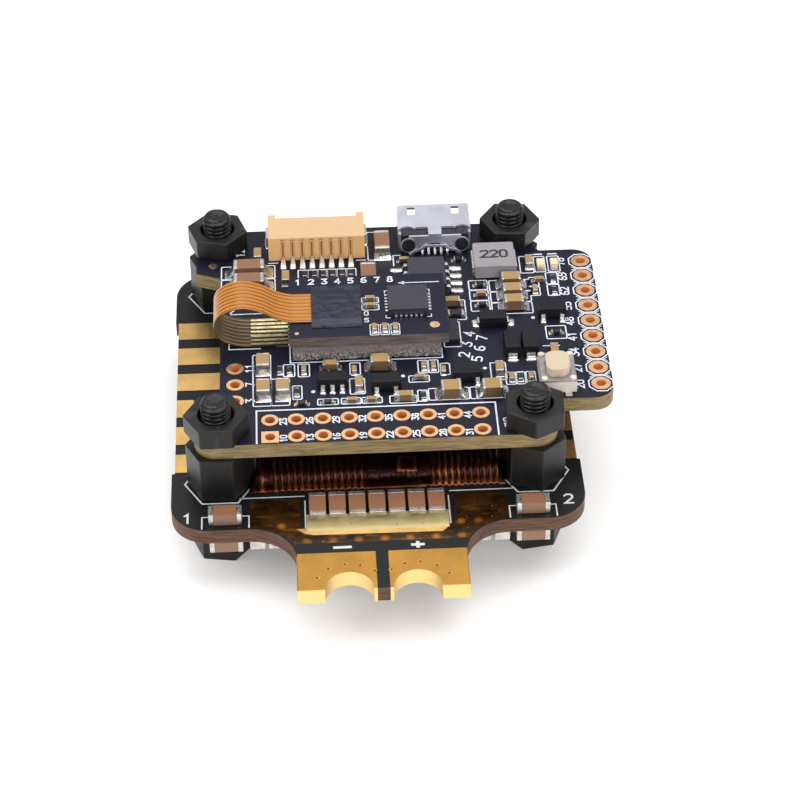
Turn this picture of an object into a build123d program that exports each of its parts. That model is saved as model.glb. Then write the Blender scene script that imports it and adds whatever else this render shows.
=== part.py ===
from build123d import *
import math
import os

# ---------------------------------------------------------------- driving dimensions, mm
# Frame: origin at the centre of the mounting pattern, Z = 0 under the lower standoffs,
# the battery pads face -Y, the plug and the USB socket face +Y.
PATTERN = 30.5            # mounting pattern, square
POST = PATTERN / 2
THREAD_R = 1.45           # M3 moulded nylon thread, crest radius
THREAD_CLEAR = 0.02
TAP_R = 1.25              # M3 tapping bore under the lower standoffs
BOARD_HOLE_R = 1.6
HEX_AF = 5.5
LOWER_H = 6.0
UPPER_H = 5.0
NUT_H = 2.15
NUT_LEAD_IN = 0.3
STUD_H = 5.4              # stud above the upper standoff
STUD_CHAMFER = 0.35
LINK_H = 5.0              # stud that joins the lower and the upper standoff
BOARD_T = 1.6
IMU_FOAM_T = 1.6
IMU_BOARD_T = 1.2
FOIL = 0.05               # thickness given to copper pads
CUT = 0.1                 # how far a cutter reaches past the face it opens

ESC_Z = LOWER_H
ESC_TOP = ESC_Z + BOARD_T
FC_Z = ESC_TOP + UPPER_H
FC_TOP = FC_Z + BOARD_T
IMU_Z = FC_TOP + IMU_FOAM_T
IMU_TOP = IMU_Z + IMU_BOARD_T

FC_X, FC_Y = 17.5, 17.5   # half size of the main square
FC_WING = 23.4
FC_WING_Y = 12.3
FC_WAIST = -15.0          # left edge between the two left ears
ESC_X = 20.0
ESC_BACK = 19.25
ESC_SHOULDER = -22.15
TAB_X = 8.05
TAB_FRONT = -31.0
LUG_X, LUG_R = 3.2, 2.4   # half holes for the battery wires

HEADER_PITCH = 2.54
HEADER_ROWS = (-13.95, -16.49)
SIDE_PAD_X = 22.2
LEFT_PAD_X = -13.5
LEFT_PAD_Y = (-5.8, -8.33, -10.87)
PIN_DRILL = 0.5
SIDE_DRILL = 0.48
BARREL = 0.06             # wall of a plated hole
MOTOR_PITCH = 4.26
MOTOR_PAD_W = 2.72
MOTOR_PAD_L = 4.7
MOTOR_MID_Y = -1.46
MOTOR_BAND = 24.3         # length of the shallow recess in each side edge
BATTERY_PAD_W, BATTERY_PAD_L = 7.4, 5.05
BATTERY_GAP = 0.6         # half the gap between the two battery pads

NUT_TURN = {"front_left": 0, "front_right": 28, "rear_left": -12, "rear_right": -4}
UPPER_TURN = {"front_left": -3, "front_right": 41, "rear_left": -8, "rear_right": 12}
LOWER_TURN = {"front_left": -9, "front_right": 9, "rear_left": 0, "rear_right": 15}
POSTS = {
    "front_left": (-POST, -POST),
    "front_right": (POST, -POST),
    "rear_left": (-POST, POST),
    "rear_right": (POST, POST),
}

# chip sizes: length, width, height, length of each metal end
SIZE_1206 = (3.2, 1.6, 1.35, 0.5)
SIZE_CORNER = (3.2, 1.6, 1.3, 0.5)
SIZE_BANK = (3.2, 1.65, 1.25, 0.5)
SIZE_UNDER = (3.2, 1.5, 1.25, 0.5)
SIZE_0806 = (2.0, 1.6, 1.25, 0.35)
SIZE_0805 = (2.0, 1.35, 1.25, 0.35)
SIZE_0603 = (1.6, 0.8, 0.8, 0.3)
SIZE_0402 = (1.0, 0.5, 0.5, 0.22)
SIZE_0603_FLAT = (1.6, 0.8, 0.45, 0.3)
SIZE_0402_FLAT = (1.0, 0.5, 0.35, 0.22)
SIZE_LED = (1.6, 0.8, 0.35, 0.3)

# places on the flight board: x, y, turn (0 = length along X, 90 = length along Y)
CAPS_1206 = [(-12.05, 10.0, 0), (-12.05, 7.65, 0), (1.8, 13.5, 90), (0.2, 8.0, 90)]
CAPS_0806 = [(7.5, -10.95, 0), (11.5, -10.95, 0)]
CAPS_0805 = [(14.7, 2.7, 0), (14.7, 4.6, 0), (14.7, 6.5, 0),
             (0.78, -6.3, 0), (-10.75, -5.85, 90), (-10.75, -9.9, 90), (-8.85, -9.9, 90)]
CAPS_0603 = [(-8.3, 8.5, 90), (-11.15, 12.7, 90), (-4.1, -6.2, 0), (-1.42, -9.3, 90),
             (3.0, -11.45, 0), (12.45, -7.7, 90), (16.85, 9.8, 90), (8.5, 3.5, 0),
             (18.1, -5.2, 90)]
CAPS_0402 = [(-6.75, -6.55, 90), (-1.8, -6.9, 90), (-2.2, -11.6, 0), (-0.25, -11.6, 0),
             (4.6, -8.4, 0), (5.05, -6.65, 90), (6.0, -6.65, 90), (6.95, -7.45, 90),
             (13.55, -8.9, 90), (15.45, -8.9, 90), (11.55, 4.85, 0), (17.65, 6.95, 0),
             (17.1, 5.3, 90), (4.0, 11.2, 0)]
RESISTORS_0603 = [(8.75, 1.7, 0)]
RESISTORS_0402 = [(-9.1, -6.45, 90), (-8.15, -6.6, 90), (-7.5, -10.0, 90), (-7.05, -11.7, 0),
                  (-4.5, -11.65, 0), (4.8, -11.3, 90), (14.45, -8.9, 90), (18.6, -1.9, 0),
                  (19.05, 7.0, 90), (19.05, 5.05, 90), (11.55, 6.5, 0), (11.55, 3.1, 0),
                  (9.65, 11.05, 0)]
PULL_UP_X = (-6.3, -5.32, -4.4, -3.45, -2.48, -1.55)
PULL_UP_Y = 9.3
ARRAY_AT = (8.2, -1.2)
ARRAY_PITCH = 0.8

# small outline transistors and regulators: x, y, front pin columns, rear pin columns
PAIR = (-0.95, 0.95)
TRIO = (-0.95, 0, 0.95)
REGULATORS = [(-4.0, -8.77, TRIO, TRIO), (1.23, -9.37, PAIR, TRIO),
              (9.25, -8.42, PAIR, TRIO), (18.45, 1.3, PAIR, TRIO)]
DIODES = [(12.4, 0.15, 0), (13.95, -4.05, 90), (15.75, -4.05, 90)]
LEDS = [(18.0, 9.45), (19.4, 9.45)]
FLASH_AT = (6.15, 7.6)
PROCESSOR_AT = (3.5, 0.5)
PROCESSOR_SIDE = 14.0
CRYSTAL_AT = (-8.6, 3.0)

# cable plug, side entry from the rear
PLUG_X, PLUG_FRONT = -5.0, 12.05
PLUG_W, PLUG_D, PLUG_H = 10.0, 4.25, 2.9
PLUG_PINS = 8

# USB socket, entry from the rear
USB_X, USB_FRONT = 7.3, 11.95
USB_D, USB_W, USB_H = 5.9, 7.5, 2.45
STEEL = 0.25
USB_PINS, USB_PITCH = 5, 0.65

INDUCTOR_AT = (13.2, 9.7)
INDUCTOR_SIDE, INDUCTOR_H = 4.2, 1.6

# push button
BUTTON_X, BUTTON_Y = 17.95, -9.2
BUTTON_DX, BUTTON_DY = 3.5, 4.5
BUTTON_BASE_H = 1.25
BUTTON_FRAME_Z = FC_TOP + 1.35
BUTTON_FRAME_T = 0.2
PLUNGER_DX, PLUNGER_DY, PLUNGER_H = 2.3, 3.0, 1.1
PLUNGER_Y = BUTTON_Y - 0.1
PEG_R, PEG_INSET = 0.3, 0.35

# motion sensor board and its flat cable
IMU_X0, IMU_X1 = -8.0, 7.7
IMU_Y, IMU_W = 0.15, 10.0
FOAM_X, FOAM_L, FOAM_W = -0.42, 14.7, 9.9
SENSOR_AT = (3.85, 0.2)
SENSOR_SIDE, SENSOR_H = 4.0, 0.85
IMU_CHIPS = [(0.1, 0.95, 0), (0.1, -0.2, 0), (0.35, -3.9, 90), (1.38, -3.9, 90), (2.42, -3.9, 90)]
RIBBON_Y, RIBBON_W, RIBBON_T = -0.15, 4.6, 0.12
TAPE_X0, TAPE_X1 = -5.8, -0.8
RIBBON_PADS, RIBBON_PITCH = 8, 0.6

# battery side of the motor board: x, y, turn
ESC_BANK_X = [-5.9 + 1.9 * n for n in range(7)]
ESC_BANK_Y = -20.15
CORNER_X = 14.75
CORNER_Y, CORNER_UNDER_Y = -20.7, -21.3
UNDER_X, UNDER_Y = (9.95, 11.75), -20.3

# parts between the two boards and under the motor board
DRIVER_X, DRIVER_Y = 6.1, (-13.2, 13.0)
DRIVER_PINS = 10
MOTOR_CHIP_Y = 4.5
TRANSISTOR_X = (9.8, 5.6)
TRANSISTOR_SIDE, TRANSISTOR_H = 3.3, 0.83
FILM_FRONT, FILM_BACK = -16.65, 16.4
FILM_X, FILM_T, FILM_H = 11.7, 0.1, 1.75
FILM_FOOT_W = 24.8

nodes = {}


def keep(name, solids):
    """File a list of solids under a node name."""
    nodes.setdefault(name, []).extend(solids)


def block(x, y, z, dx, dy, dz, turn=0):
    """Block standing on height z with its plan centre at x, y."""
    return Pos(x, y, z + dz / 2) * Rot(0, 0, turn) * Box(dx, dy, dz)


def rounded_block(x, y, z, dx, dy, dz, radius, turn=0):
    """Block with rounded vertical corners."""
    plan = RectangleRounded(dx, dy, radius)
    return Pos(x, y, z) * Rot(0, 0, turn) * extrude(plan, dz)


def rod(x, y, z, radius, height):
    """Upright cylinder standing on height z."""
    return Pos(x, y, z + height / 2) * Cylinder(radius, height)


def hexagon(x, y, z, height, turn):
    """Upright hexagonal prism across the standard flats."""
    plan = RegularPolygon(HEX_AF / 2, 6, major_radius=False)
    return Pos(x, y, z) * Rot(0, 0, turn) * extrude(plan, height)


# ---------------------------------------------------------------- standoffs and nuts
def lower_standoffs():
    solids = []
    for name, (x, y) in POSTS.items():
        body = hexagon(x, y, 0, LOWER_H, LOWER_TURN[name])
        stud = rod(x, y, LOWER_H, THREAD_R, LINK_H)
        bore = rod(x, y, 0, TAP_R, LOWER_H - 1.0)
        solids.append(body + stud - bore)
    keep("lower_standoffs", solids)


def top_stud(x, y):
    """Stud through the flight board, chamfered at its free end."""
    straight = STUD_H - STUD_CHAMFER
    tip = Cone(THREAD_R, THREAD_R - STUD_CHAMFER, STUD_CHAMFER)
    return rod(x, y, FC_Z, THREAD_R, straight) + Pos(x, y, FC_Z + straight + STUD_CHAMFER / 2) * tip


def upper_standoffs():
    socket = LINK_H - BOARD_T + 0.3
    solids = []
    for name, (x, y) in POSTS.items():
        body = hexagon(x, y, ESC_TOP, UPPER_H, UPPER_TURN[name])
        stud = top_stud(x, y)
        bore = rod(x, y, ESC_TOP, THREAD_R + THREAD_CLEAR, socket)
        solids.append(body + stud - bore)
    keep("upper_standoffs", solids)


def nuts():
    solids = []
    for name, (x, y) in POSTS.items():
        body = hexagon(x, y, FC_TOP, NUT_H, NUT_TURN[name])
        bore = rod(x, y, FC_TOP, THREAD_R + THREAD_CLEAR, NUT_H)
        mouth = Cone(THREAD_R + THREAD_CLEAR, THREAD_R + NUT_LEAD_IN, NUT_LEAD_IN)
        lead_in = Pos(x, y, FC_TOP + NUT_H - NUT_LEAD_IN / 2) * mouth
        solids.append(body - bore - lead_in)
    keep("top_nuts", solids)


# ---------------------------------------------------------------- boards
def board_holes(x_y_radius, z, thickness):
    """Through holes for one board."""
    return [rod(x, y, z - CUT, r, thickness + 2 * CUT) for x, y, r in x_y_radius]


def outline_board(points, radii, z, thickness):
    """Board from a closed outline; radii maps a corner number to its rounding."""
    sketch = make_face(Polyline(*points, close=True))
    for number, radius in radii.items():
        at = Vector(*points[number])
        corner = min(sketch.vertices(), key=lambda v: (Vector(v.X, v.Y) - at).length)
        sketch = fillet(corner, radius)
    return Pos(0, 0, z) * extrude(sketch, thickness)


def header_places():
    return [(HEADER_PITCH * (n - 4), y) for y in HEADER_ROWS for n in range(9)]


def side_places():
    return [(SIDE_PAD_X, HEADER_PITCH * (n - 4)) for n in range(9)]


def flight_board():
    points = [
        (-FC_X, -FC_Y), (FC_X, -FC_Y), (FC_X, -12.9), (18.1, -FC_WING_Y),
        (FC_WING, -FC_WING_Y), (FC_WING, FC_WING_Y), (18.1, FC_WING_Y), (FC_X, 12.9),
        (FC_X, FC_Y), (-FC_X, FC_Y), (-FC_X, 10.3), (FC_WAIST, 9.3), (FC_WAIST, -9.3),
        (-FC_X, -10.3),
    ]
    radii = {0: 2.2, 1: 2.2, 4: 2.0, 5: 2.0, 8: 2.2, 9: 2.2}
    board = outline_board(points, radii, FC_Z, BOARD_T)
    holes = [(x, y, BOARD_HOLE_R) for x, y in POSTS.values()]
    holes += [(x, y, PIN_DRILL + BARREL) for x, y in header_places()]
    holes += [(x, y, SIDE_DRILL + BARREL) for x, y in side_places()]
    holes += [(LEFT_PAD_X, y, PIN_DRILL + BARREL) for y in LEFT_PAD_Y]
    keep("fc_board", [board - board_holes(holes, FC_Z, BOARD_T)])


def motor_board():
    points = [
        (-ESC_X, ESC_SHOULDER), (-TAB_X, ESC_SHOULDER), (-TAB_X, TAB_FRONT),
        (TAB_X, TAB_FRONT), (TAB_X, ESC_SHOULDER), (ESC_X, ESC_SHOULDER),
        (ESC_X, ESC_BACK), (-ESC_X, ESC_BACK),
    ]
    radii = {0: 3.75, 1: 4.4, 4: 4.4, 5: 3.75, 6: 4.0, 7: 4.0}
    board = outline_board(points, radii, ESC_Z, BOARD_T)
    holes = [(x, y, BOARD_HOLE_R) for x, y in POSTS.values()]
    holes += [(-LUG_X, TAB_FRONT, LUG_R), (LUG_X, TAB_FRONT, LUG_R)]
    slots = []
    for side in (-1, 1):
        x = side * (ESC_X + 0.35)
        slots.append(block(x, MOTOR_MID_Y, ESC_Z - CUT, 1.3, MOTOR_BAND, BOARD_T + 2 * CUT))
    keep("esc_board", [board - board_holes(holes, ESC_Z, BOARD_T) - slots])


def imu_board():
    length = IMU_X1 - IMU_X0
    middle = (IMU_X0 + IMU_X1) / 2
    keep("imu_board", [rounded_block(middle, IMU_Y, IMU_Z, length, IMU_W, IMU_BOARD_T, 0.3)])


# ---------------------------------------------------------------- plated pads
def plated_hole(x, y, z, pad_r, drill_r, square=False):
    """Copper rim above and below a board joined by the plated wall of the hole."""
    barrel = rod(x, y, z, drill_r + BARREL, BOARD_T)
    top = rod(x, y, z + BOARD_T, pad_r, FOIL)
    if square:
        top = block(x, y, z + BOARD_T, 2 * pad_r, 2 * pad_r, FOIL)
    bottom = rod(x, y, z - FOIL, pad_r, FOIL)
    drill = rod(x, y, z - 1, drill_r, BOARD_T + 2)
    return barrel + top + bottom - drill


def solder_pads():
    header = []
    for x, y in header_places():
        first = x < -10 and y < -16
        header.append(plated_hole(x, y, FC_Z, 0.84, PIN_DRILL, square=first))
    keep("header_pads", header)
    keep("side_pads", [plated_hole(x, y, FC_Z, 0.96, SIDE_DRILL) for x, y in side_places()])
    keep("left_pads", [plated_hole(LEFT_PAD_X, y, FC_Z, 0.86, PIN_DRILL) for y in LEFT_PAD_Y])


def motor_pads():
    """Six lands along each side edge, cut clear of the standoff feet."""
    solids = []
    for side in (-1, 1):
        for n in range(6):
            y = MOTOR_MID_Y + MOTOR_PITCH * (n - 2.5)
            x = side * (ESC_X - 0.3 - MOTOR_PAD_L / 2)
            solids.append(block(x, y, ESC_TOP, MOTOR_PAD_L, MOTOR_PAD_W, FOIL))
    posts = [rod(x, y, ESC_TOP - 1, 3.45, 3) for x, y in POSTS.values()]
    keep("motor_pads", [solid - posts for solid in solids])


def battery_pad(side):
    """Plated battery land: both faces of the tab and the wall of its half hole."""
    x = side * (BATTERY_GAP + BATTERY_PAD_W / 2)
    y = TAB_FRONT + BATTERY_PAD_L / 2
    lug_x = side * LUG_X
    top = block(x, y, ESC_TOP, BATTERY_PAD_W, BATTERY_PAD_L, FOIL)
    bottom = block(x, y, ESC_Z - FOIL, BATTERY_PAD_W, BATTERY_PAD_L, FOIL)
    wall = rod(lug_x, TAB_FRONT, ESC_Z - FOIL, LUG_R, BOARD_T + 2 * FOIL)
    cutter = rod(lug_x, TAB_FRONT, ESC_Z - 1, LUG_R - 0.12, BOARD_T + 2)
    ahead = block(lug_x, TAB_FRONT - 3, ESC_Z - 1, 8, 6, BOARD_T + 2)
    return top + bottom + wall - cutter - ahead


def battery_pads():
    keep("battery_negative_pad", [battery_pad(-1)])
    keep("battery_positive_pad", [battery_pad(1)])


# ---------------------------------------------------------------- chip parts
def chip(place, size, base):
    """Body and two metal ends of a surface-mount chip part."""
    x, y, turn = place
    length, width, height, end = size
    here = Pos(x, y, base) * Rot(0, 0, turn)
    core = here * Pos(0, 0, height / 2 + 0.02) * Box(length - 2 * end, width - 0.04, height - 0.04)
    ends = []
    for side in (-1, 1):
        ends.append(here * Pos(side * (length - end) / 2, 0, height / 2) * Box(end, width, height))
    return core, ends


def chips(core_node, end_node, places, size, base=FC_TOP):
    for place in places:
        core, ends = chip(place, size, base)
        keep(core_node, [core])
        keep(end_node, ends)


def fc_chip_parts():
    chips("large_capacitors", "large_capacitor_ends", CAPS_1206, SIZE_1206)
    chips("medium_capacitors", "medium_capacitor_ends", CAPS_0806, SIZE_0806)
    chips("medium_capacitors", "medium_capacitor_ends", CAPS_0805, SIZE_0805)
    chips("small_capacitors", "small_capacitor_ends", CAPS_0603, SIZE_0603)
    chips("small_capacitors", "small_capacitor_ends", CAPS_0402, SIZE_0402)
    chips("resistors", "resistor_ends", RESISTORS_0603, SIZE_0603_FLAT)
    chips("resistors", "resistor_ends", RESISTORS_0402, SIZE_0402_FLAT)
    pull_ups = [(x, PULL_UP_Y, 90) for x in PULL_UP_X]
    chips("resistors", "resistor_ends", pull_ups, SIZE_0402_FLAT)


def resistor_array():
    """Four resistors in one ceramic body, four metal ends on each long side."""
    x, y = ARRAY_AT
    keep("resistors", [block(x, y, FC_TOP, 1.2, 4 * ARRAY_PITCH, 0.5)])
    for side in (-1, 1):
        for offset in pin_columns(4, ARRAY_PITCH):
            keep("resistor_ends", [block(x + side * 0.7, y + offset, FC_TOP, 0.2, 0.45, 0.5)])


# ---------------------------------------------------------------- leaded packages
def gull_lead(reach, shoulder, width, metal=0.13, foot=0.4):
    """Gull-wing lead running out along +X from the origin, foot on Z = 0."""
    knee = reach - foot
    profile = Polyline(
        (0, shoulder), (knee * 0.6, shoulder), (knee + 0.05, metal), (reach, metal),
        (reach, 0), (knee - 0.05, 0), (knee * 0.6 - 0.1, shoulder - metal),
        (0, shoulder - metal), close=True)
    blade = extrude(make_face(profile), width / 2, both=True)
    return Rot(90, 0, 0) * blade


def package(x, y, base, dx, dy, height, lift=0.1, turn=0):
    """Moulded body whose upper half is drawn in slightly, lifted off the board."""
    half = (height - lift) / 2
    lower = block(0, 0, 0, dx, dy, half)
    upper = Pos(0, 0, half) * extrude(Rectangle(dx, dy), half, taper=8)
    return Pos(x, y, base + lift) * Rot(0, 0, turn) * (lower + upper)


def leads_on_side(x, y, base, half_body, columns, angle, lead):
    """Copies of one lead along a side; angle points from the body outwards."""
    solids = []
    for offset in columns:
        solids.append(Pos(x, y, base) * Rot(0, 0, angle) * Pos(half_body, offset, 0) * lead)
    return solids


def pin_columns(count, pitch):
    return [pitch * (n - (count - 1) / 2) for n in range(count)]


def regulators():
    lead = gull_lead(0.6, 0.62, 0.4)
    for x, y, front, rear in REGULATORS:
        keep("regulators", [package(x, y, FC_TOP, 2.9, 1.6, 1.15)])
        keep("regulator_leads", leads_on_side(x, y, FC_TOP, 0.8, front, -90, lead))
        keep("regulator_leads", leads_on_side(x, y, FC_TOP, 0.8, rear, 90, lead))


def diodes():
    length = 2.8
    lead = gull_lead(0.65, 0.5, 0.9)
    for x, y, turn in DIODES:
        keep("diodes", [package(x, y, FC_TOP, length, 1.6, 1.15, turn=turn)])
        for angle in (turn, turn + 180):
            keep("diode_leads", leads_on_side(x, y, FC_TOP, length / 2, [0], angle, lead))


def flash_memory():
    x, y = FLASH_AT
    wide, deep, high = 3.9, 4.9, 1.4
    lead = gull_lead(1.0, 0.8, 0.42, metal=0.18, foot=0.5)
    columns = pin_columns(4, 1.27)
    keep("flash_memory", [package(x, y, FC_TOP, wide, deep, high)])
    for angle in (0, 180):
        keep("flash_memory_leads", leads_on_side(x, y, FC_TOP, wide / 2, columns, angle, lead))


def status_leds():
    for x, y in LEDS:
        core, ends = chip((x, y, 90), SIZE_LED, FC_TOP)
        lens = rounded_block(x, y, FC_TOP + SIZE_LED[2], 0.76, 1.1, 0.3, 0.05)
        keep("status_leds", [core + lens])
        keep("status_led_ends", ends)


def main_processor():
    """Hangs under the flight board, leads on all four sides."""
    x, y = PROCESSOR_AT
    under = Pos(x, y, FC_Z) * Rot(180, 0, 0)
    keep("main_processor", [under * package(0, 0, 0, PROCESSOR_SIDE, PROCESSOR_SIDE, 1.45)])
    lead = gull_lead(1.0, 0.8, 0.22)
    columns = pin_columns(25, 0.5)
    for angle in (0, 90, 180, 270):
        for solid in leads_on_side(0, 0, 0, PROCESSOR_SIDE / 2, columns, angle, lead):
            keep("main_processor_leads", [under * solid])


def clock_crystal():
    x, y = CRYSTAL_AT
    high = 0.7
    keep("clock_crystal", [rounded_block(x, y, FC_Z - high, 2.5, 3.2, high, 0.3)])


# ---------------------------------------------------------------- connectors and inductor
def plug_pins():
    return [PLUG_X + offset for offset in pin_columns(PLUG_PINS, 1.0)]


def plug():
    """Eight-way side-entry socket; the cable enters from the rear."""
    middle = PLUG_FRONT + PLUG_D / 2
    wall, floor = 0.8, 0.55
    mouth = PLUG_W - 2 * wall
    shell = block(PLUG_X, middle, FC_TOP, PLUG_W, PLUG_D, PLUG_H)
    shell -= block(PLUG_X, PLUG_FRONT + 2.75, FC_TOP + floor, mouth, 3.01, PLUG_H - floor - 0.5)
    shell -= block(PLUG_X, PLUG_FRONT + PLUG_D - 0.3, FC_TOP + 1.6, mouth, 0.6, PLUG_H)
    for x in plug_pins():
        shell -= block(x, PLUG_FRONT + 0.2, FC_TOP - 0.01, 0.42, 0.42, 2.6)
        shell -= block(x, PLUG_FRONT + 0.8, FC_TOP + 1.2, 0.29, 1.4, 0.35)
    keep("plug_housing", [shell])
    for x in plug_pins():
        post = block(x, PLUG_FRONT + 0.2, FC_TOP + 0.15, 0.25, 0.25, 1.35)
        foot = block(x, PLUG_FRONT - 0.45, FC_TOP, 0.25, 1.55, 0.2)
        blade = block(x, PLUG_FRONT + 1.85, FC_TOP + 1.25, 0.25, 3.3, 0.25)
        keep("plug_contacts", [post + foot + blade])
    for side in (-1, 1):
        x = PLUG_X + side * (PLUG_W / 2 + 0.12)
        keep("plug_tabs", [block(x, PLUG_FRONT + 3.1, FC_TOP, 0.24, 1.9, 1.5)])


def usb_shell():
    """Folded steel shell with spring windows and an arched front."""
    plate = USB_D - 1.1
    inside = USB_W - 2 * STEEL
    clear = USB_H - 2 * STEEL
    lid = FC_TOP + USB_H - STEEL
    middle = USB_FRONT + USB_D / 2
    shell = rounded_block(USB_X, middle + 0.55, FC_TOP, USB_W, plate, USB_H, 0.2)
    shell -= block(USB_X, middle, FC_TOP + STEEL, inside, USB_D + 1, clear)
    for side in (-1, 1):
        shell -= rod(USB_X + side * 2.85, USB_FRONT + 1.1, lid - CUT, 0.95, 0.6)
        shell -= block(USB_X + side * 1.35, USB_FRONT + 1.2, lid - CUT, 1.3, 1.3, 0.6)
        shell -= block(USB_X + side * 2.3, USB_FRONT + USB_D - 1.15, lid - CUT, 0.8, 1.3, 0.6)
    arch = block(USB_X, USB_FRONT + 0.62, FC_TOP, 5.4, STEEL, USB_H - STEEL)
    arch += block(USB_X, USB_FRONT + 0.93, lid, 1.35, 0.87, STEEL)
    opening = extrude(Ellipse(2.15, 1.35), 1, both=True)
    arch -= Pos(USB_X, USB_FRONT + 0.62, FC_TOP) * Rot(90, 0, 0) * opening
    keep("usb_shell", [shell + arch])


def usb_insert():
    """Moulded tongue and back wall with a groove for each contact."""
    inside = USB_W - 2 * STEEL - 0.1
    clear = USB_H - 2 * STEEL - 0.05
    insert = block(USB_X, USB_FRONT + 1.6, FC_TOP + STEEL, inside, 1.6, clear)
    insert += block(USB_X, USB_FRONT + 3.6, FC_TOP + 1.25, 3.7, 2.6, 0.6)
    for offset in pin_columns(USB_PINS, USB_PITCH):
        insert -= block(USB_X + offset, USB_FRONT + 2.8, FC_TOP + 1.11, 0.3, 4.4, 0.2)
        insert -= block(USB_X + offset, USB_FRONT + 0.9, FC_TOP, 0.3, 0.4, 1.31)
    keep("usb_insert", [insert])


def usb_contacts():
    for offset in pin_columns(USB_PINS, USB_PITCH):
        x = USB_X + offset
        blade = block(x, USB_FRONT + 2.75, FC_TOP + 1.15, 0.24, 3.8, 0.14)
        drop = block(x, USB_FRONT + 0.92, FC_TOP, 0.24, 0.14, 1.29)
        foot = block(x, USB_FRONT + 0.6, FC_TOP, 0.24, 0.75, 0.12)
        keep("usb_contacts", [blade + drop + foot])


def inductor():
    x, y = INDUCTOR_AT
    side, lift = INDUCTOR_SIDE, 0.15
    core = rounded_block(x, y, FC_TOP + lift, side, side, INDUCTOR_H - lift, 0.25)
    keep("inductor_core", [core])
    for way in (-1, 1):
        clip = block(x + way * (side / 2 + 0.1), y, FC_TOP, 0.2, 3.0, 1.1)
        clip += block(x + way * (side / 2 - 0.4), y, FC_TOP, 1.2, 3.0, lift)
        keep("inductor_terminals", [clip])


# ---------------------------------------------------------------- push button
def button_pegs(z, height):
    """Four corner pegs that rivet the frame to the base."""
    pegs = []
    for sx in (-1, 1):
        for sy in (-1, 1):
            x = BUTTON_X + sx * (BUTTON_DX / 2 - PEG_INSET)
            y = BUTTON_Y + sy * (BUTTON_DY / 2 - PEG_INSET)
            pegs.append(rod(x, y, z, PEG_R, height))
    return pegs


def button_case():
    base = block(BUTTON_X, BUTTON_Y, FC_TOP + 0.1, BUTTON_DX, BUTTON_DY, BUTTON_BASE_H)
    base += button_pegs(BUTTON_FRAME_Z, BUTTON_FRAME_T + 0.15)
    base -= rounded_block(BUTTON_X, PLUNGER_Y, FC_TOP + 0.35, 2.8, 3.5, 1.1, 0.6)
    keep("button_base", [base])
    plate = block(BUTTON_X, BUTTON_Y, BUTTON_FRAME_Z, BUTTON_DX, BUTTON_DY, BUTTON_FRAME_T)
    window = (PLUNGER_DX + CUT, PLUNGER_DY + CUT)
    plate -= rounded_block(BUTTON_X, PLUNGER_Y, BUTTON_FRAME_Z - CUT, *window, 0.5, 0.9)
    plate -= button_pegs(BUTTON_FRAME_Z - CUT, 0.5)
    keep("button_frame", [plate])
    for sx in (-1, 1):
        for sy in (-1, 1):
            x = BUTTON_X + sx * 0.95
            y = BUTTON_Y + sy * (BUTTON_DY / 2 + 0.2)
            keep("button_feet", [block(x, y, FC_TOP, 0.65, 0.7, 0.1)])


def button_plunger():
    """Key with a flange held under the frame and a nub over the dome."""
    flange = rounded_block(BUTTON_X, PLUNGER_Y, FC_TOP + 1.0, 2.6, 3.3, 0.3, 0.6)
    cap_z = FC_TOP + 1.3
    cap = rounded_block(BUTTON_X, PLUNGER_Y, cap_z, PLUNGER_DX, PLUNGER_DY, PLUNGER_H, 0.85)
    nub = rod(BUTTON_X, PLUNGER_Y, FC_TOP + 0.75, 0.5, 0.25)
    keep("button_plunger", [flange + cap + nub])


def button_dome():
    """Spring dome that clicks under the plunger."""
    cone = Cone(1.15, 0.7, 0.3, align=(Align.CENTER, Align.CENTER, Align.MIN))
    outside = Pos(BUTTON_X, PLUNGER_Y, FC_TOP + 0.36) * cone
    inside = Pos(BUTTON_X, PLUNGER_Y, FC_TOP + 0.26) * cone
    keep("button_dome", [outside - inside])


# ---------------------------------------------------------------- motion sensor board
def imu_sensor():
    x, y = SENSOR_AT
    keep("imu_sensor", [block(x, y, IMU_TOP + 0.02, SENSOR_SIDE, SENSOR_SIDE, SENSOR_H)])
    for angle in (0, 90, 180, 270):
        for offset in pin_columns(6, 0.5):
            place = Pos(x, y, IMU_TOP) * Rot(0, 0, angle) * Pos(SENSOR_SIDE / 2 + 0.16, offset, 0.12)
            keep("imu_sensor_contacts", [place * Box(0.3, 0.26, 0.24)])


def imu_parts():
    keep("imu_foam", [block(FOAM_X, IMU_Y, FC_TOP, FOAM_L, FOAM_W, IMU_FOAM_T)])
    chips("imu_capacitors", "imu_capacitor_ends", IMU_CHIPS, SIZE_0402, IMU_TOP)
    middle = (TAPE_X0 + TAPE_X1) / 2
    length = TAPE_X1 - TAPE_X0
    keep("imu_tape", [block(middle, 0.1, IMU_TOP + 0.2, length, 6.9, 0.1)])


def ribbon_points():
    """Centre line of the flat cable: x and height above the flight board."""
    top = IMU_BOARD_T + IMU_FOAM_T + RIBBON_T
    foot = 0.16
    return [
        (TAPE_X1 - 0.1, top), (-7.9, top), (-9.3, 3.45), (-10.8, 4.35), (-12.6, 4.85),
        (-14.3, 4.4), (-15.25, 3.5), (-15.4, 2.3), (-14.8, 1.05), (-13.4, 0.35),
        (-11.9, foot), (-8.3, foot),
    ]


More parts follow.
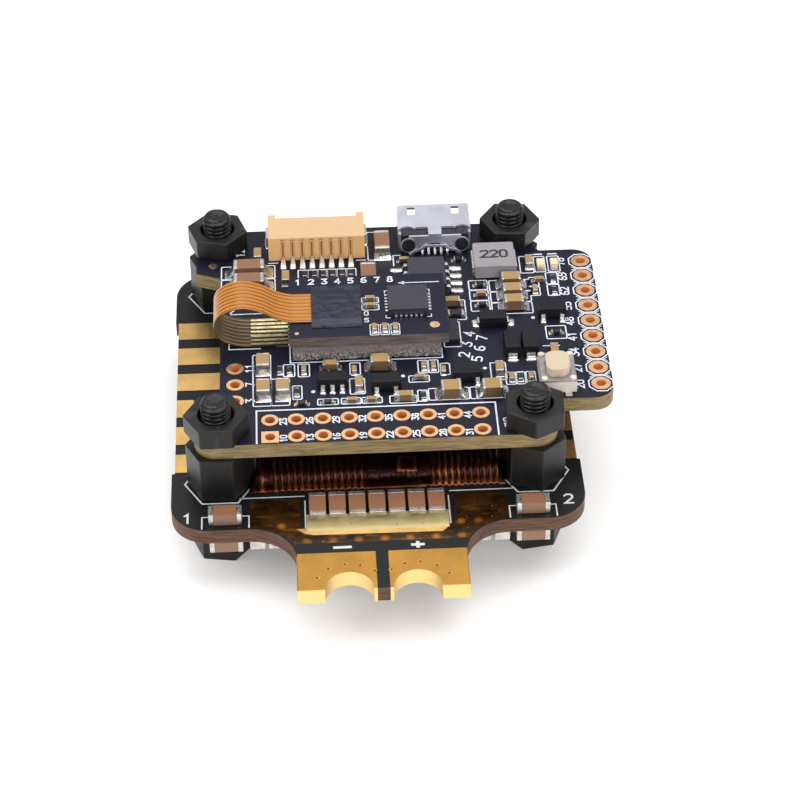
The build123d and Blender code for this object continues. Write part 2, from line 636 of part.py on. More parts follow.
def flex_ribbon():
    points = ribbon_points()
    with BuildPart() as strip:
        with BuildSketch(Plane.XZ.offset(-(RIBBON_Y + RIBBON_W / 2))):
            with BuildLine():
                Line(points[0], points[1])
                Spline(*points[1:-1], tangents=((-1, 0), (1, 0)))
                Line(points[-2], points[-1])
            trace(line_width=RIBBON_T)
        extrude(amount=RIBBON_W)
    keep("flex_ribbon", [Pos(0, 0, FC_TOP) * strip.part])
    for offset in pin_columns(RIBBON_PADS, RIBBON_PITCH):
        keep("ribbon_solder_pads", [block(-8.85, RIBBON_Y + offset, FC_TOP, 1.5, 0.34, 0.09)])


# ---------------------------------------------------------------- motor board parts
def motor_board_capacitors():
    """Bank between the battery tab and the drivers, and the corner and underside parts."""
    node, ends = "motor_capacitors", "motor_capacitor_ends"
    chips(node, ends, [(x, ESC_BANK_Y, 90) for x in ESC_BANK_X], SIZE_BANK, ESC_TOP)
    for side in (-1, 1):
        x = side * CORNER_X
        chips(node, ends, [(x, CORNER_Y, 0)], SIZE_CORNER, ESC_TOP)
        chips(node, ends, [(x, CORNER_UNDER_Y, 0)], SIZE_CORNER, ESC_Z - SIZE_CORNER[2])
        under = [(side * x, UNDER_Y, 90) for x in UNDER_X]
        chips(node, ends, under, SIZE_UNDER, ESC_Z - SIZE_UNDER[2])


def gate_drivers():
    """Four driver chips in two rows, long sides facing front and rear."""
    deep = 4.4
    lead = gull_lead(1.0, 0.65, 0.24)
    columns = pin_columns(DRIVER_PINS, 0.65)
    for x in (-DRIVER_X, DRIVER_X):
        for y in DRIVER_Y:
            keep("gate_drivers", [package(x, y, ESC_TOP, 6.5, deep, 1.1)])
            for angle in (90, -90):
                keep("gate_driver_leads", leads_on_side(x, y, ESC_TOP, deep / 2, columns, angle, lead))


def motor_processors():
    for x in (-DRIVER_X, DRIVER_X):
        for y in (-MOTOR_CHIP_Y, MOTOR_CHIP_Y):
            keep("motor_processors", [block(x, y, ESC_TOP + 0.02, 5.0, 5.0, 0.9)])


def power_transistors():
    side, high = TRANSISTOR_SIDE, TRANSISTOR_H
    for way in (-1, 1):
        for row in range(6):
            y = MOTOR_MID_Y + MOTOR_PITCH * (row - 2.5)
            for x in TRANSISTOR_X:
                keep("power_transistors", [block(way * x, y, ESC_Z - high - 0.02, side, side, high)])


def insulating_film():
    """Thin film folded over the driver chips, with a lip along its front foot."""
    foot, wall = ESC_TOP + 0.02, FILM_H - 0.02
    middle, depth = (FILM_FRONT + FILM_BACK) / 2, FILM_BACK - FILM_FRONT
    film = block(0, middle, ESC_TOP + FILM_H - FILM_T, 2 * FILM_X, depth, FILM_T)
    film += block(0, FILM_FRONT + FILM_T / 2, foot, FILM_FOOT_W, FILM_T, wall)
    film += block(0, FILM_BACK - FILM_T / 2, foot, 2 * FILM_X, FILM_T, wall)
    film += block(0, FILM_FRONT - 0.15, foot, FILM_FOOT_W, 0.3, FILM_T)
    film -= [hexagon(x, y, ESC_TOP - 1, 4, UPPER_TURN[name]) for name, (x, y) in POSTS.items()]
    keep("insulating_film", [film])


# ---------------------------------------------------------------- build and write
def build_all():
    lower_standoffs()
    upper_standoffs()
    nuts()
    flight_board()
    motor_board()
    imu_board()
    solder_pads()
    motor_pads()
    battery_pads()
    fc_chip_parts()
    resistor_array()
    regulators()
    diodes()
    flash_memory()
    status_leds()
    main_processor()
    clock_crystal()
    plug()
    usb_shell()
    usb_insert()
    usb_contacts()
    inductor()
    button_case()
    button_plunger()
    button_dome()
    imu_sensor()
    imu_parts()
    flex_ribbon()
    motor_board_capacitors()
    gate_drivers()
    motor_processors()
    power_transistors()
    insulating_film()


def single_solids(shapes):
    """Flatten whatever the boolean steps returned into plain solids."""
    found = []
    for shape in shapes:
        found.extend(shape.solids())
    return found


build_all()
os.makedirs("parts", exist_ok=True)
for name, shapes in nodes.items():
    export_step(Compound(children=single_solids(shapes)), f"parts/{name}.step")
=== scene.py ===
import math

import bmesh
import bpy
from mathutils import Matrix, Vector, noise


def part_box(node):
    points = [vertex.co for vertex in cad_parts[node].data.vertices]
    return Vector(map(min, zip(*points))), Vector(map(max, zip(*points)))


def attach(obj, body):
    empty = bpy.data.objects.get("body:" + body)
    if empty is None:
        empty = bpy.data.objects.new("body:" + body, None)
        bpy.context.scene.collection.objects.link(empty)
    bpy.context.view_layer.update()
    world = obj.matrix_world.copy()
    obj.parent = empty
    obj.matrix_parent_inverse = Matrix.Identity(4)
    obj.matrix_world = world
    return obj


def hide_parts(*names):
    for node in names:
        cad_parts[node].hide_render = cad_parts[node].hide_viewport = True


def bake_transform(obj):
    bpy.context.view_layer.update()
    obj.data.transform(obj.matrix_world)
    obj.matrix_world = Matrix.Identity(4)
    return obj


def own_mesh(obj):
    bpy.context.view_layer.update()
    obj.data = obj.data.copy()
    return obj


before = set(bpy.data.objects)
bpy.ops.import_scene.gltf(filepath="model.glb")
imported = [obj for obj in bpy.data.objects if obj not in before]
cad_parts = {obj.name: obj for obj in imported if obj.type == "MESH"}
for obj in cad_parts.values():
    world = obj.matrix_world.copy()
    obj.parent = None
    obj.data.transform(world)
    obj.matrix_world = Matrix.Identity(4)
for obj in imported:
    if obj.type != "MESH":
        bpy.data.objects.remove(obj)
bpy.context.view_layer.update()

MM = 0.001
STACK, SENSOR = "stack", "sensor_board"


# ---------------------------------------------------------------- places from the frame, mm
def lowest(node):
    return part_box(node)[0] / MM


def highest(node):
    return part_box(node)[1] / MM


FC_Z, FC_TOP = lowest("fc_board").z, highest("fc_board").z
ESC_Z, ESC_TOP = lowest("esc_board").z, highest("esc_board").z
IMU_TOP = highest("imu_board").z


def islands(node):
    """Vertex positions of each separate solid of a CAD node, in mm, in the order of its mesh."""
    mesh = bmesh.new()
    mesh.from_mesh(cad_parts[node].data)
    bmesh.ops.remove_doubles(mesh, verts=mesh.verts, dist=1e-7)
    seen = set()
    found = []
    for start in mesh.verts:
        if start in seen:
            continue
        seen.add(start)
        stack = [start]
        points = []
        while stack:
            vert = stack.pop()
            points.append(vert.co / MM)
            for edge in vert.link_edges:
                other = edge.other_vert(vert)
                if other not in seen:
                    seen.add(other)
                    stack.append(other)
        found.append(points)
    mesh.free()
    return found


def box_of(points):
    lo = Vector([min(p[i] for p in points) for i in range(3)])
    hi = Vector([max(p[i] for p in points) for i in range(3)])
    return lo, hi


def solids(node):
    """Lowest and highest corner of each separate solid of a CAD node, left to right."""
    boxes = [box_of(points) for points in islands(node)]
    return sorted(boxes, key=lambda b: (round(b[0].x, 2), round(b[0].y, 2), round(b[0].z, 2)))


def middle(box):
    return (box[0] + box[1]) / 2


def circle(x, y, radius, sides, turn=0.0, tall=1.0):
    """Plan points of a circle or regular polygon; turn in degrees, tall stretches it along y."""
    angles = [math.radians(turn) + 2 * math.pi * n / sides for n in range(sides)]
    return [(x + radius * math.cos(a), y + tall * radius * math.sin(a)) for a in angles]


def level(points, z):
    """Plan points at height z."""
    return [(x, y, z) for x, y in points]


# ---------------------------------------------------------------- motor board layout, mm
TAB_X, TAB_END = 8.05, -31.0                          # half width and front edge of the battery tab
SHOULDER_Y, NOTCH_R = -22.15, 4.4                     # the board narrows to the tab along this arc
HOLE_X, HOLE_R, VIA_RING_R = 3.2, 2.4, 3.4            # half holes in the tab and the vias round them
PLANE_BACK, PLANE_OUT, PLANE_IN = -18.0, 12.4, 7.6    # copper planes under the mask
STRIP_BACK, STRIP_FRONT = -22.5, -24.5                # part of the planes in front of the capacitors
VIA_GLOW_R = 0.62
VIA_SPOTS = [(-9.4, -21.9), (7.75, -22.1), (9.4, -22.1)]
VIA_SPOTS += [(-7.0 + 2.45 * n, -24.15) for n in range(7)]


# ---------------------------------------------------------------- mesh collector
BOX_FACES = [(0, 2, 3, 1), (4, 5, 7, 6), (0, 1, 5, 4), (2, 6, 7, 3), (0, 4, 6, 2), (1, 3, 7, 5)]


class Shell:
    """Collects closed shells in millimetres and makes one piece of them."""

    def __init__(self):
        self.points = []
        self.faces = []
        self.kinds = []

    def add(self, points, faces, kinds=None):
        """Adds faces over points; kinds numbers the material of each face, 0 if left out."""
        start = len(self.points)
        self.points.extend(tuple(p) for p in points)
        self.faces.extend([start + i for i in face] for face in faces)
        self.kinds.extend(kinds or [0] * len(faces))

    def box(self, lo, hi):
        corners = [(x, y, z) for z in (lo[2], hi[2]) for y in (lo[1], hi[1]) for x in (lo[0], hi[0])]
        self.add(corners, BOX_FACES)

    def skin(self, rings, loop=False):
        """Closed skin over rings of equally many points; loop joins the last ring to the first."""
        count, rows = len(rings[0]), len(rings)
        faces = []
        for j in range(rows if loop else rows - 1):
            below, above = j * count, (j + 1) % rows * count
            for i in range(count):
                k = (i + 1) % count
                faces.append((below + i, below + k, above + k, above + i))
        if not loop:
            faces.append(tuple(reversed(range(count))))
            faces.append(tuple((rows - 1) * count + i for i in range(count)))
        self.add([p for ring in rings for p in ring], faces)

    def prism(self, outline, z0, z1):
        self.skin([level(outline, z0), level(outline, z1)])

    def make(self, name, body, paints, bevel=0.0, segments=2, sharp=35, slot=None, stands_for=None):
        """One piece from all the shells; stands_for names the CAD node that it replaces."""
        mesh = bpy.data.meshes.new(name)
        mesh.from_pydata([(x * MM, y * MM, z * MM) for x, y, z in self.points], [], self.faces)
        for paint in paints:
            mesh.materials.append(paint)
        mesh.polygons.foreach_set("material_index", self.kinds)
        tidy = bmesh.new()
        tidy.from_mesh(mesh)
        bmesh.ops.recalc_face_normals(tidy, faces=tidy.faces)
        tidy.to_mesh(mesh)
        tidy.free()
        mesh.polygons.foreach_set("use_smooth", [True] * len(mesh.polygons))
        mesh.set_sharp_from_angle(angle=math.radians(sharp))
        piece = bpy.data.objects.new(name, mesh)
        bpy.context.scene.collection.objects.link(piece)
        if bevel:
            soften(piece, bevel, segments)
        if body:
            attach(piece, body)
        if stands_for:
            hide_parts(stands_for)
        return piece


ROUNDED_FROM = 32    # an edge that bends by fewer degrees stays as it is


def soften(piece, width, segments):
    """Rounds the edges of a piece by a width in mm."""
    bevel = piece.modifiers.new("soft edges", "BEVEL")
    bevel.width = width * MM
    bevel.segments = segments
    bevel.limit_method = "ANGLE"
    bevel.angle_limit = math.radians(ROUNDED_FROM)
    bevel.harden_normals = True
    bevel.use_clamp_overlap = True


def dress(node, paint, bevel, segments):
    """Keeps a CAD node, gives it a material and rounds its edges."""
    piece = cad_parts[node]
    piece.data.materials.clear()
    piece.data.materials.append(paint)
    if bevel:
        weld = piece.modifiers.new("join corners", "WELD")
        weld.merge_threshold = 1e-6
        soften(piece, bevel, segments)


# ---------------------------------------------------------------- materials
class Paint:
    """Shorthand for one procedural material. Texture coordinates are in millimetres."""

    def __init__(self, name, color=(0.5, 0.5, 0.5), rough=0.5, metal=0.0):
        self.made = bpy.data.materials.new(name)
        self.made.use_nodes = True
        self.nodes = self.made.node_tree.nodes
        self.links = self.made.node_tree.links
        self.shader = self.nodes["Principled BSDF"]
        self.put(color=color, rough=rough, metal=metal)
        coords = self.nodes.new("ShaderNodeTexCoord").outputs["Object"]
        self.place = self.vector("MULTIPLY", coords, (1 / MM,) * 3)

    SOCKETS = {
        "color": "Base Color", "rough": "Roughness", "metal": "Metallic", "coat": "Coat Weight",
        "coat_rough": "Coat Roughness", "normal": "Normal", "glow": "Emission Strength",
        "specular": "Specular IOR Level", "sheen": "Sheen Weight",
    }

    def feed(self, socket, value):
        if isinstance(value, bpy.types.NodeSocket):
            self.links.new(value, socket)
        elif isinstance(value, tuple) and socket.type == "RGBA" and len(value) == 3:
            socket.default_value = (*value, 1)
        else:
            socket.default_value = value

    def put(self, **values):
        for name, value in values.items():
            self.feed(self.shader.inputs[self.SOCKETS[name]], value)

    def vector(self, how, a, b):
        node = self.nodes.new("ShaderNodeVectorMath")
        node.operation = how
        self.feed(node.inputs[0], a)
        self.feed(node.inputs[1], b)
        return node.outputs[0]

    def math(self, how, a, b=0.0, c=0.0):
        node = self.nodes.new("ShaderNodeMath")
        node.operation = how
        for i, value in enumerate((a, b, c)):
            self.feed(node.inputs[i], value)
        return node.outputs[0]

    def split(self, place=None):
        node = self.nodes.new("ShaderNodeSeparateXYZ")
        self.feed(node.inputs[0], place or self.place)
        return node.outputs

    def noise(self, scale, detail=3.0, stretch=None):
        node = self.nodes.new("ShaderNodeTexNoise")
        place = self.vector("MULTIPLY", self.place, stretch) if stretch else self.place
        self.feed(node.inputs["Vector"], place)
        node.inputs["Scale"].default_value = scale
        node.inputs["Detail"].default_value = detail
        return node.outputs["Fac"]

    def cells(self, scale):
        node = self.nodes.new("ShaderNodeTexVoronoi")
        self.feed(node.inputs["Vector"], self.place)
        node.inputs["Scale"].default_value = scale
        return node.outputs["Distance"]

    def span(self, value, low, high, to_low=0.0, to_high=1.0):
        """Smooth step from to_low at low to to_high at high."""
        node = self.nodes.new("ShaderNodeMapRange")
        node.interpolation_type = "SMOOTHSTEP"
        for i, each in enumerate((value, low, high, to_low, to_high)):
            self.feed(node.inputs[i], each)
        return node.outputs[0]

    def mix(self, share, a, b):
        node = self.nodes.new("ShaderNodeMix")
        node.data_type = "RGBA"
        self.feed(node.inputs[0], share)
        self.feed(node.inputs[6], a)
        self.feed(node.inputs[7], b)
        return node.outputs[2]

    def distance(self, x, y):
        """Plan distance from a point, in mm."""
        node = self.nodes.new("ShaderNodeVectorMath")
        node.operation = "DISTANCE"
        self.feed(node.inputs[0], self.vector("MULTIPLY", self.place, (1, 1, 0)))
        self.feed(node.inputs[1], (x, y, 0))
        return node.outputs["Value"]

    def facing_up(self):
        """1 on level faces, 0 on upright ones."""
        normal = self.split(self.nodes.new("ShaderNodeNewGeometry").outputs["True Normal"])[2]
        return self.span(self.math("ABSOLUTE", normal), 0.5, 0.8)

    def attribute(self, name):
        node = self.nodes.new("ShaderNodeAttribute")
        node.attribute_name = name
        return node.outputs["Fac"]

    def bump(self, height, depth):
        """Relief from a height; depth is in mm."""
        node = self.nodes.new("ShaderNodeBump")
        node.inputs["Strength"].default_value = 1.0
        node.inputs["Distance"].default_value = depth * MM
        self.feed(node.inputs["Height"], height)
        self.put(normal=node.outputs["Normal"])


def shade(color, factor):
    return tuple(min(1.0, c * factor) for c in color)


def moulded(name, color, rough, spread=0.25, grain=6.0, depth=0.01, coat=0.0, gloss=0.5):
    """Moulded plastic or epoxy: slightly uneven colour and gloss over a fine skin texture."""
    paint = Paint(name, rough=rough)
    clouds = paint.noise(0.7, 4)
    fine = paint.noise(grain, 3)
    paint.put(color=paint.mix(clouds, shade(color, 1 - spread), shade(color, 1 + spread)))
    paint.put(rough=paint.span(fine, 0.25, 0.75, rough * 0.8, min(1.0, rough * 1.2)))
    paint.put(coat=coat, specular=gloss)
    paint.bump(fine, depth)
    return paint.made


def nylon_painted_glow(name, top, side):
    """Natural nylon with painted light: paler on top, its upright faces painted warmer and brighter as
    light glowing through it.
    """
    paint = Paint(name, rough=0.5)
    clouds = paint.noise(2.0, 3)
    # painted light: upright faces take the brighter, warmer side colour, level faces the paler top colour
    tone = paint.mix(paint.facing_up(), side, top)
    paint.put(color=paint.mix(paint.span(clouds, 0.3, 0.7, 0.0, 0.3), tone, shade(side, 0.9)))
    paint.bump(clouds, 0.01)
    return paint.made


def metal(name, color, rough, spread=0.12, grain=5.0, depth=0.008, tint=None):
    """Plated or soldered metal with patches of duller tone."""
    paint = Paint(name, metal=1.0, rough=rough)
    clouds = paint.noise(1.3, 4)
    fine = paint.noise(grain, 4)
    second = tint or shade(color, 1 - spread)
    paint.put(color=paint.mix(paint.span(clouds, 0.3, 0.7), second, shade(color, 1 + spread / 2)))
    paint.put(rough=paint.span(fine, 0.3, 0.7, rough * 0.7, min(1.0, rough * 1.4)))
    paint.bump(fine, depth)
    return paint.made


def brushed_shell(name, color, rough):
    """Smooth stamped sheet metal with faint cloudy tarnish."""
    paint = Paint(name, metal=0.85, rough=rough)
    clouds = paint.noise(0.35, 2)
    paint.put(color=paint.mix(clouds, shade(color, 0.86), shade(color, 1.12)))
    paint.put(rough=paint.span(clouds, 0.3, 0.7, rough * 0.9, rough * 1.15))
    return paint.made


def satin_gold(name, top, wall_highlight, rough=0.36):
    """Thick gold-plated land: satin and deeper in tone on top, its upright walls painted bright as a
    painted highlight.
    """
    paint = Paint(name, metal=0.9, rough=rough)
    up = paint.facing_up()
    clouds = paint.noise(0.45, 4)
    grit = paint.noise(7.0, 3)
    face = paint.mix(paint.span(clouds, 0.3, 0.7), shade(top, 0.88), shade(top, 1.1))
    face = paint.mix(paint.span(grit, 0.64, 0.78), face, shade(top, 1.35))
    face = paint.mix(paint.span(grit, 0.34, 0.24), face, shade(top, 0.62))
    # painted highlight: upright walls take the bright wall colour
    paint.put(color=paint.mix(up, wall_highlight, face), rough=paint.span(grit, 0.3, 0.7, rough * 0.8, rough * 1.2))
    paint.bump(grit, 0.006)
    return paint.made


def board(name, mask, edge, edge_dark, rough=0.36, weave=0.012):
    """Solder mask on the faces, glass laminate with fibre layers on the cut edges; the brightest specks on
    the edges are partly pale glass fibres and partly painted glints.
    """
    paint = Paint(name)
    up = paint.facing_up()
    clouds = paint.noise(0.35, 3)
    fine = paint.noise(9.0, 2)
    face = paint.mix(clouds, shade(mask, 0.8), shade(mask, 1.25))
    layers = paint.noise(1.0, 4, (0.5, 0.5, 5.0))
    fibres_and_glints = paint.noise(1.0, 5, (3.0, 3.0, 9.0))
    side = paint.mix(paint.span(layers, 0.35, 0.65), edge_dark, edge)
    # bright specks: partly pale glass fibres, partly painted glints
    side = paint.mix(paint.span(fibres_and_glints, 0.62, 0.8), side, shade(edge, 1.7))
    paint.put(color=paint.mix(up, side, face), rough=paint.span(up, 0, 1, 0.5, rough))
    warp = paint.nodes.new("ShaderNodeTexWave")
    paint.feed(warp.inputs["Vector"], paint.place)
    warp.inputs["Scale"].default_value = 1.1
    relief = paint.math("ADD", paint.math("MULTIPLY", warp.outputs["Fac"], 0.25), fine)
    paint.put(specular=0.22)
    paint.bump(relief, weave)
    return paint.made


def ceramic(name, top, side):
    """Unglazed capacitor ceramic with painted light and shade: warmer and lighter on top, darker on the
    flanks.
    """
    paint = Paint(name, rough=0.46)
    up = paint.facing_up()
    clouds = paint.noise(0.9, 3)
    grain = paint.noise(14.0, 3)
    face = paint.mix(clouds, shade(top, 0.82), shade(top, 1.12))
    face = paint.mix(paint.span(grain, 0.35, 0.75), shade(top, 0.865), face)
    # painted light and shade: level faces take the lighter top colour, upright faces the darker side colour
    paint.put(color=paint.mix(up, side, face), coat=0.15, coat_rough=0.3)
    paint.bump(grain, 0.01)
    return paint.made


def black_nylon(name, rough, gloss):
    """Moulded black nylon, with fine pores and edges painted a little paler, partly rubbed wear and partly
    a painted sheen.
    """
    paint = Paint(name)
    streaks = paint.noise(1.0, 4, (2.0, 2.0, 0.4))
    pores = paint.noise(16.0, 3)
    # edges painted paler: partly rubbed wear, partly a painted sheen on the rounded edges
    wear_and_sheen = paint.span(paint.nodes.new("ShaderNodeNewGeometry").outputs["Pointiness"], 0.52, 0.60)
    tone = paint.mix(streaks, (0.0058, 0.0055, 0.0055), (0.0140, 0.0133, 0.0132))
    paint.put(color=paint.mix(paint.math("MULTIPLY", wear_and_sheen, 0.6), tone, (0.040, 0.038, 0.037)))
    paint.put(rough=paint.span(pores, 0.3, 0.7, rough * 0.8, rough * 1.25), specular=gloss)
    paint.bump(paint.math("ADD", pores, paint.math("MULTIPLY", streaks, 0.6)), 0.014)
    return paint.made


def pad_copper():
    """Gold-plated copper: peach on the rim, orange and brown down in the hole."""
    paint = Paint("plated_copper", rough=0.3)
    up = paint.facing_up()
    clouds = paint.noise(2.2, 3)
    rim = paint.mix(clouds, (0.74, 0.43, 0.235), (0.84, 0.54, 0.32))
    bore = paint.mix(paint.noise(3.0, 3), (0.62, 0.235, 0.060), (0.84, 0.39, 0.13))
    paint.put(color=paint.mix(up, bore, rim), rough=paint.span(clouds, 0.3, 0.7, 0.3, 0.42))
    paint.put(metal=paint.span(up, 0, 1, 0.35, 1.0))
    paint.bump(paint.noise(5.0, 2), 0.002)
    return paint.made


def fluxed_solder():
    """Broad solder joint under yellowish flux, with a few burnt specks."""
    paint = Paint("fluxed_solder", metal=0.35, rough=0.34)
    clouds = paint.noise(0.9, 3, (0.5, 1.0, 1.5))
    specks = paint.cells(1.3)
    height = paint.split()[2]
    low = paint.span(height, ESC_TOP + 0.15, ESC_TOP + 0.85)
    tone = paint.mix(paint.span(clouds, 0.35, 0.65), (0.105, 0.088, 0.032), (0.24, 0.205, 0.090))
    tone = paint.mix(low, (0.40, 0.315, 0.125), tone)
    tone = paint.mix(paint.span(specks, 0.12, 0.05), tone, (0.10, 0.07, 0.03))
    paint.put(color=tone, coat=0.35, coat_rough=0.15)
    paint.bump(clouds, 0.05)
    return paint.made


def masked_copper():
    """Copper plane seen through dark mask: brown gold with specks, streaks painted lighter towards the
    front as a painted reflection, and filled vias that glow.
    """
    paint = Paint("masked_copper", rough=0.2)
    clouds = paint.noise(0.4, 4)
    streaks = paint.noise(1.0, 3, (0.5, 2.2, 1.0))
    grit = paint.cells(1.5)
    tone = paint.mix(paint.span(clouds, 0.3, 0.7), (0.013, 0.0050, 0.0014), (0.052, 0.021, 0.0048))
    # painted reflection: the lighter streaks grow stronger towards the front edge
    forward = paint.span(paint.split()[1], PLANE_BACK, STRIP_FRONT, 0.25, 0.8)
    streaks_and_sheen = paint.math("MULTIPLY", paint.span(streaks, 0.5, 0.75), forward)
    tone = paint.mix(streaks_and_sheen, tone, (0.17, 0.078, 0.014))
    glow = 0.0
    for x, y in VIA_SPOTS:
        glow = paint.math("MAXIMUM", glow, paint.span(paint.distance(x, y), VIA_GLOW_R, 0.0))
    patchy = paint.math("MULTIPLY", glow, paint.span(clouds, 0.25, 0.7, 0.35, 1.0))
    tone = paint.mix(patchy, tone, (0.44, 0.15, 0.016))
    tone = paint.mix(paint.span(grit, 0.09, 0.03), tone, (0.62, 0.40, 0.18))
    paint.put(color=tone, metal=0.3, coat=0.5, coat_rough=0.15, specular=0.3)
    paint.bump(clouds, 0.02)
    return paint.made


def foam_paint():
    """Grey foam: paler and smoother near the board, speckled near the foot, where its open pores are
    painted near black as painted shade.
    """
    paint = Paint("grey_foam", rough=0.95)
    pores = paint.cells(3.6)
    grain = paint.noise(5.0, 4)
    low = paint.span(paint.split()[2], FC_TOP + 1.05, FC_TOP + 0.45)
    plain_grey = paint.mix(paint.span(grain, 0.3, 0.7), (0.155, 0.130, 0.126), (0.235, 0.195, 0.19))
    speckled = paint.mix(paint.span(grain, 0.4, 0.6), (0.080, 0.068, 0.066), (0.34, 0.30, 0.29))
    tone = paint.mix(low, plain_grey, speckled)
    # painted shade: the open pores near the foot are painted near black
    pore_shade = paint.span(pores, 0.34, 0.14)
    tone = paint.mix(paint.math("MULTIPLY", pore_shade, low), tone, (0.012, 0.010, 0.010))
    paint.put(color=tone, sheen=0.1)
    relief = paint.math("MULTIPLY", paint.math("ADD", pores, grain), paint.span(low, 0, 1, 0.3, 1.0))
    paint.bump(relief, 0.06)
    return paint.made


def ribbon_paint(name, ridge, groove, pitch, gloss=0.28):
    """Flat cable film: the copper traces show as ridges of lighter tone."""
    paint = Paint(name, rough=gloss)
    y = paint.split()[1]
    phase = paint.math("FRACT", paint.math("DIVIDE", y, pitch))
    away = paint.math("ABSOLUTE", paint.math("SUBTRACT", phase, 0.5))
    tone = paint.mix(paint.span(away, 0.30, 0.46), ridge, groove)
    clouds = paint.noise(0.8, 3)
    tone = paint.mix(paint.span(clouds, 0.3, 0.7, 0.0, 0.25), tone, shade(ridge, 0.7))
    paint.put(color=tone, coat=0.3, coat_rough=0.15, specular=0.35)
    paint.bump(paint.noise(3.0, 2), 0.012)
    return paint.made


def creased_tape():
    """Dark satin tape with shallow creases that run across the cable."""
    paint = Paint("dark_tape", rough=0.36)
    clouds = paint.noise(0.9, 3)
    creases = paint.noise(1.0, 3, (0.55, 1.7, 1.0))
    paint.put(color=paint.mix(clouds, (0.0065, 0.0068, 0.018), (0.0115, 0.012, 0.032)))
    paint.put(rough=paint.span(creases, 0.35, 0.65, 0.28, 0.46), specular=0.45)
    paint.bump(creases, 0.06)
    return paint.made


def film_paint():
    """Amber insulating film, nearly black, with copper tone on its ridges: partly the leads under it
    showing through, partly painted highlights.
    """
    paint = Paint("amber_film", rough=0.3)
    # the ridge attribute carries the copper tone set in build_film: partly leads seen through the film,
    # partly painted highlights
    ridge = paint.attribute("ridge")
    clouds = paint.noise(0.8, 4, (3.0, 0.6, 0.6))
    deep = paint.mix(clouds, (0.007, 0.0018, 0.0012), (0.034, 0.0080, 0.0038))
    tone = paint.mix(paint.span(ridge, 0.0, 0.6), deep, (0.26, 0.075, 0.030))
    tone = paint.mix(paint.span(ridge, 0.6, 1.0), tone, (0.95, 0.52, 0.30))
    paint.put(color=tone, metal=0.8, coat=0.06, coat_rough=0.2, specular=0.3)
    paint.bump(clouds, 0.04)
    return paint.made


def ink(name, color):
    """Printed ink with slightly thinner patches."""
    paint = Paint(name, rough=0.55)
    blots = paint.noise(6.0, 3)
    paint.put(color=paint.mix(paint.span(blots, 0.25, 0.6), shade(color, 0.78), color))
    paint.bump(blots, 0.004)
    return paint.made


nylon = black_nylon("black_nylon", 0.35, 0.30)
stud_nylon = black_nylon("stud_nylon", 0.24, 0.34)
# the second colour of each satin gold is a painted highlight on its upright walls
bright_gold = satin_gold("bright_gold", (0.82, 0.53, 0.20), (0.84, 0.58, 0.24))
via_copper = metal("via_copper", (0.62, 0.28, 0.06), 0.34, 0.3, 5.0, 0.02)
pad_gold = metal("fiducial_gold", (0.86, 0.60, 0.36), 0.3, 0.15, 5.0, 0.01)
finger_gap = moulded("cable_gap", (0.022, 0.017, 0.010), 0.5)
fc_mask = board("flight_board_mask", (0.0070, 0.0072, 0.0175), (0.270, 0.203, 0.096), (0.165, 0.120, 0.052))
esc_mask = board("motor_board_mask", (0.0085, 0.0085, 0.0088), (0.125, 0.062, 0.038), (0.065, 0.030, 0.018))
imu_mask = board("sensor_board_mask", (0.0085, 0.0085, 0.021), (0.150, 0.122, 0.112), (0.090, 0.072, 0.066))
copper = pad_copper()
motor_gold = satin_gold("motor_pad_gold", (0.68, 0.43, 0.155), (0.72, 0.48, 0.20))
battery_gold = satin_gold("battery_pad_gold", (0.45, 0.235, 0.050), (0.84, 0.58, 0.24))
under_mask_copper = masked_copper()
solder = metal("bright_solder", (0.80, 0.78, 0.75), 0.22, 0.2, 4.0, 0.03)
flux_solder = fluxed_solder()
tin = metal("tin_ends", (0.60, 0.565, 0.53), 0.36, 0.2, 7.0, 0.015)
lead_tin = metal("tin_leads", (0.80, 0.79, 0.77), 0.26, 0.15, 7.0, 0.01)
steel = brushed_shell("usb_steel", (0.60, 0.60, 0.68), 0.40)
frame_steel = metal("button_steel", (0.36, 0.34, 0.345), 0.5, 0.1, 4.0, 0.002)
finger_gold = metal("ribbon_finger_gold", (0.80, 0.66, 0.38), 0.34, 0.25, 3.0, 0.008)
# ceramic top and side colours: painted light on the top, painted shade on the flanks
tan_ceramic = ceramic("tan_ceramic", (0.255, 0.112, 0.053), (0.215, 0.112, 0.066))
gold_ceramic = ceramic("brown_ceramic", (0.37, 0.225, 0.085), (0.17, 0.095, 0.040))
dark_ceramic = moulded("resistor_top", (0.012, 0.012, 0.016), 0.3)
epoxy = moulded("moulded_epoxy", (0.0060, 0.0056, 0.0085), 0.46, 0.2, 9.0, 0.012, gloss=0.24)
sensor_epoxy = moulded("sensor_epoxy", (0.026, 0.024, 0.036), 0.4, 0.15, 9.0, 0.012)
ferrite = moulded("ferrite_powder", (0.265, 0.242, 0.258), 0.5, 0.18, 5.0, 0.03)
peach_nylon = nylon_painted_glow("natural_nylon", (0.57, 0.385, 0.220), (0.80, 0.475, 0.200))
# painted shadow: dark fill for the via holes on the battery tab
via_hole_shadow = moulded("slot_shadow", (0.10, 0.035, 0.012), 0.6)
white_plastic = moulded("button_white", (0.62, 0.565, 0.50), 0.42, 0.05, 3.0, 0.01)
cream_plastic = moulded("button_cream", (0.54, 0.43, 0.305), 0.4, 0.06, 3.0, 0.01)
# painted shade for the keyways of the plug
keyway_painted_shade = moulded("keyway_painted_shade", (0.30, 0.120, 0.035), 0.5)
usb_plastic = moulded("usb_plastic", (0.014, 0.013, 0.018), 0.4)
lens_resin = moulded("led_lens", (0.74, 0.62, 0.42), 0.22, 0.15, 3.0, 0.01, 0.5)
tape_paint = creased_tape()
silk_white = ink("silk_white", (0.74, 0.78, 0.86))
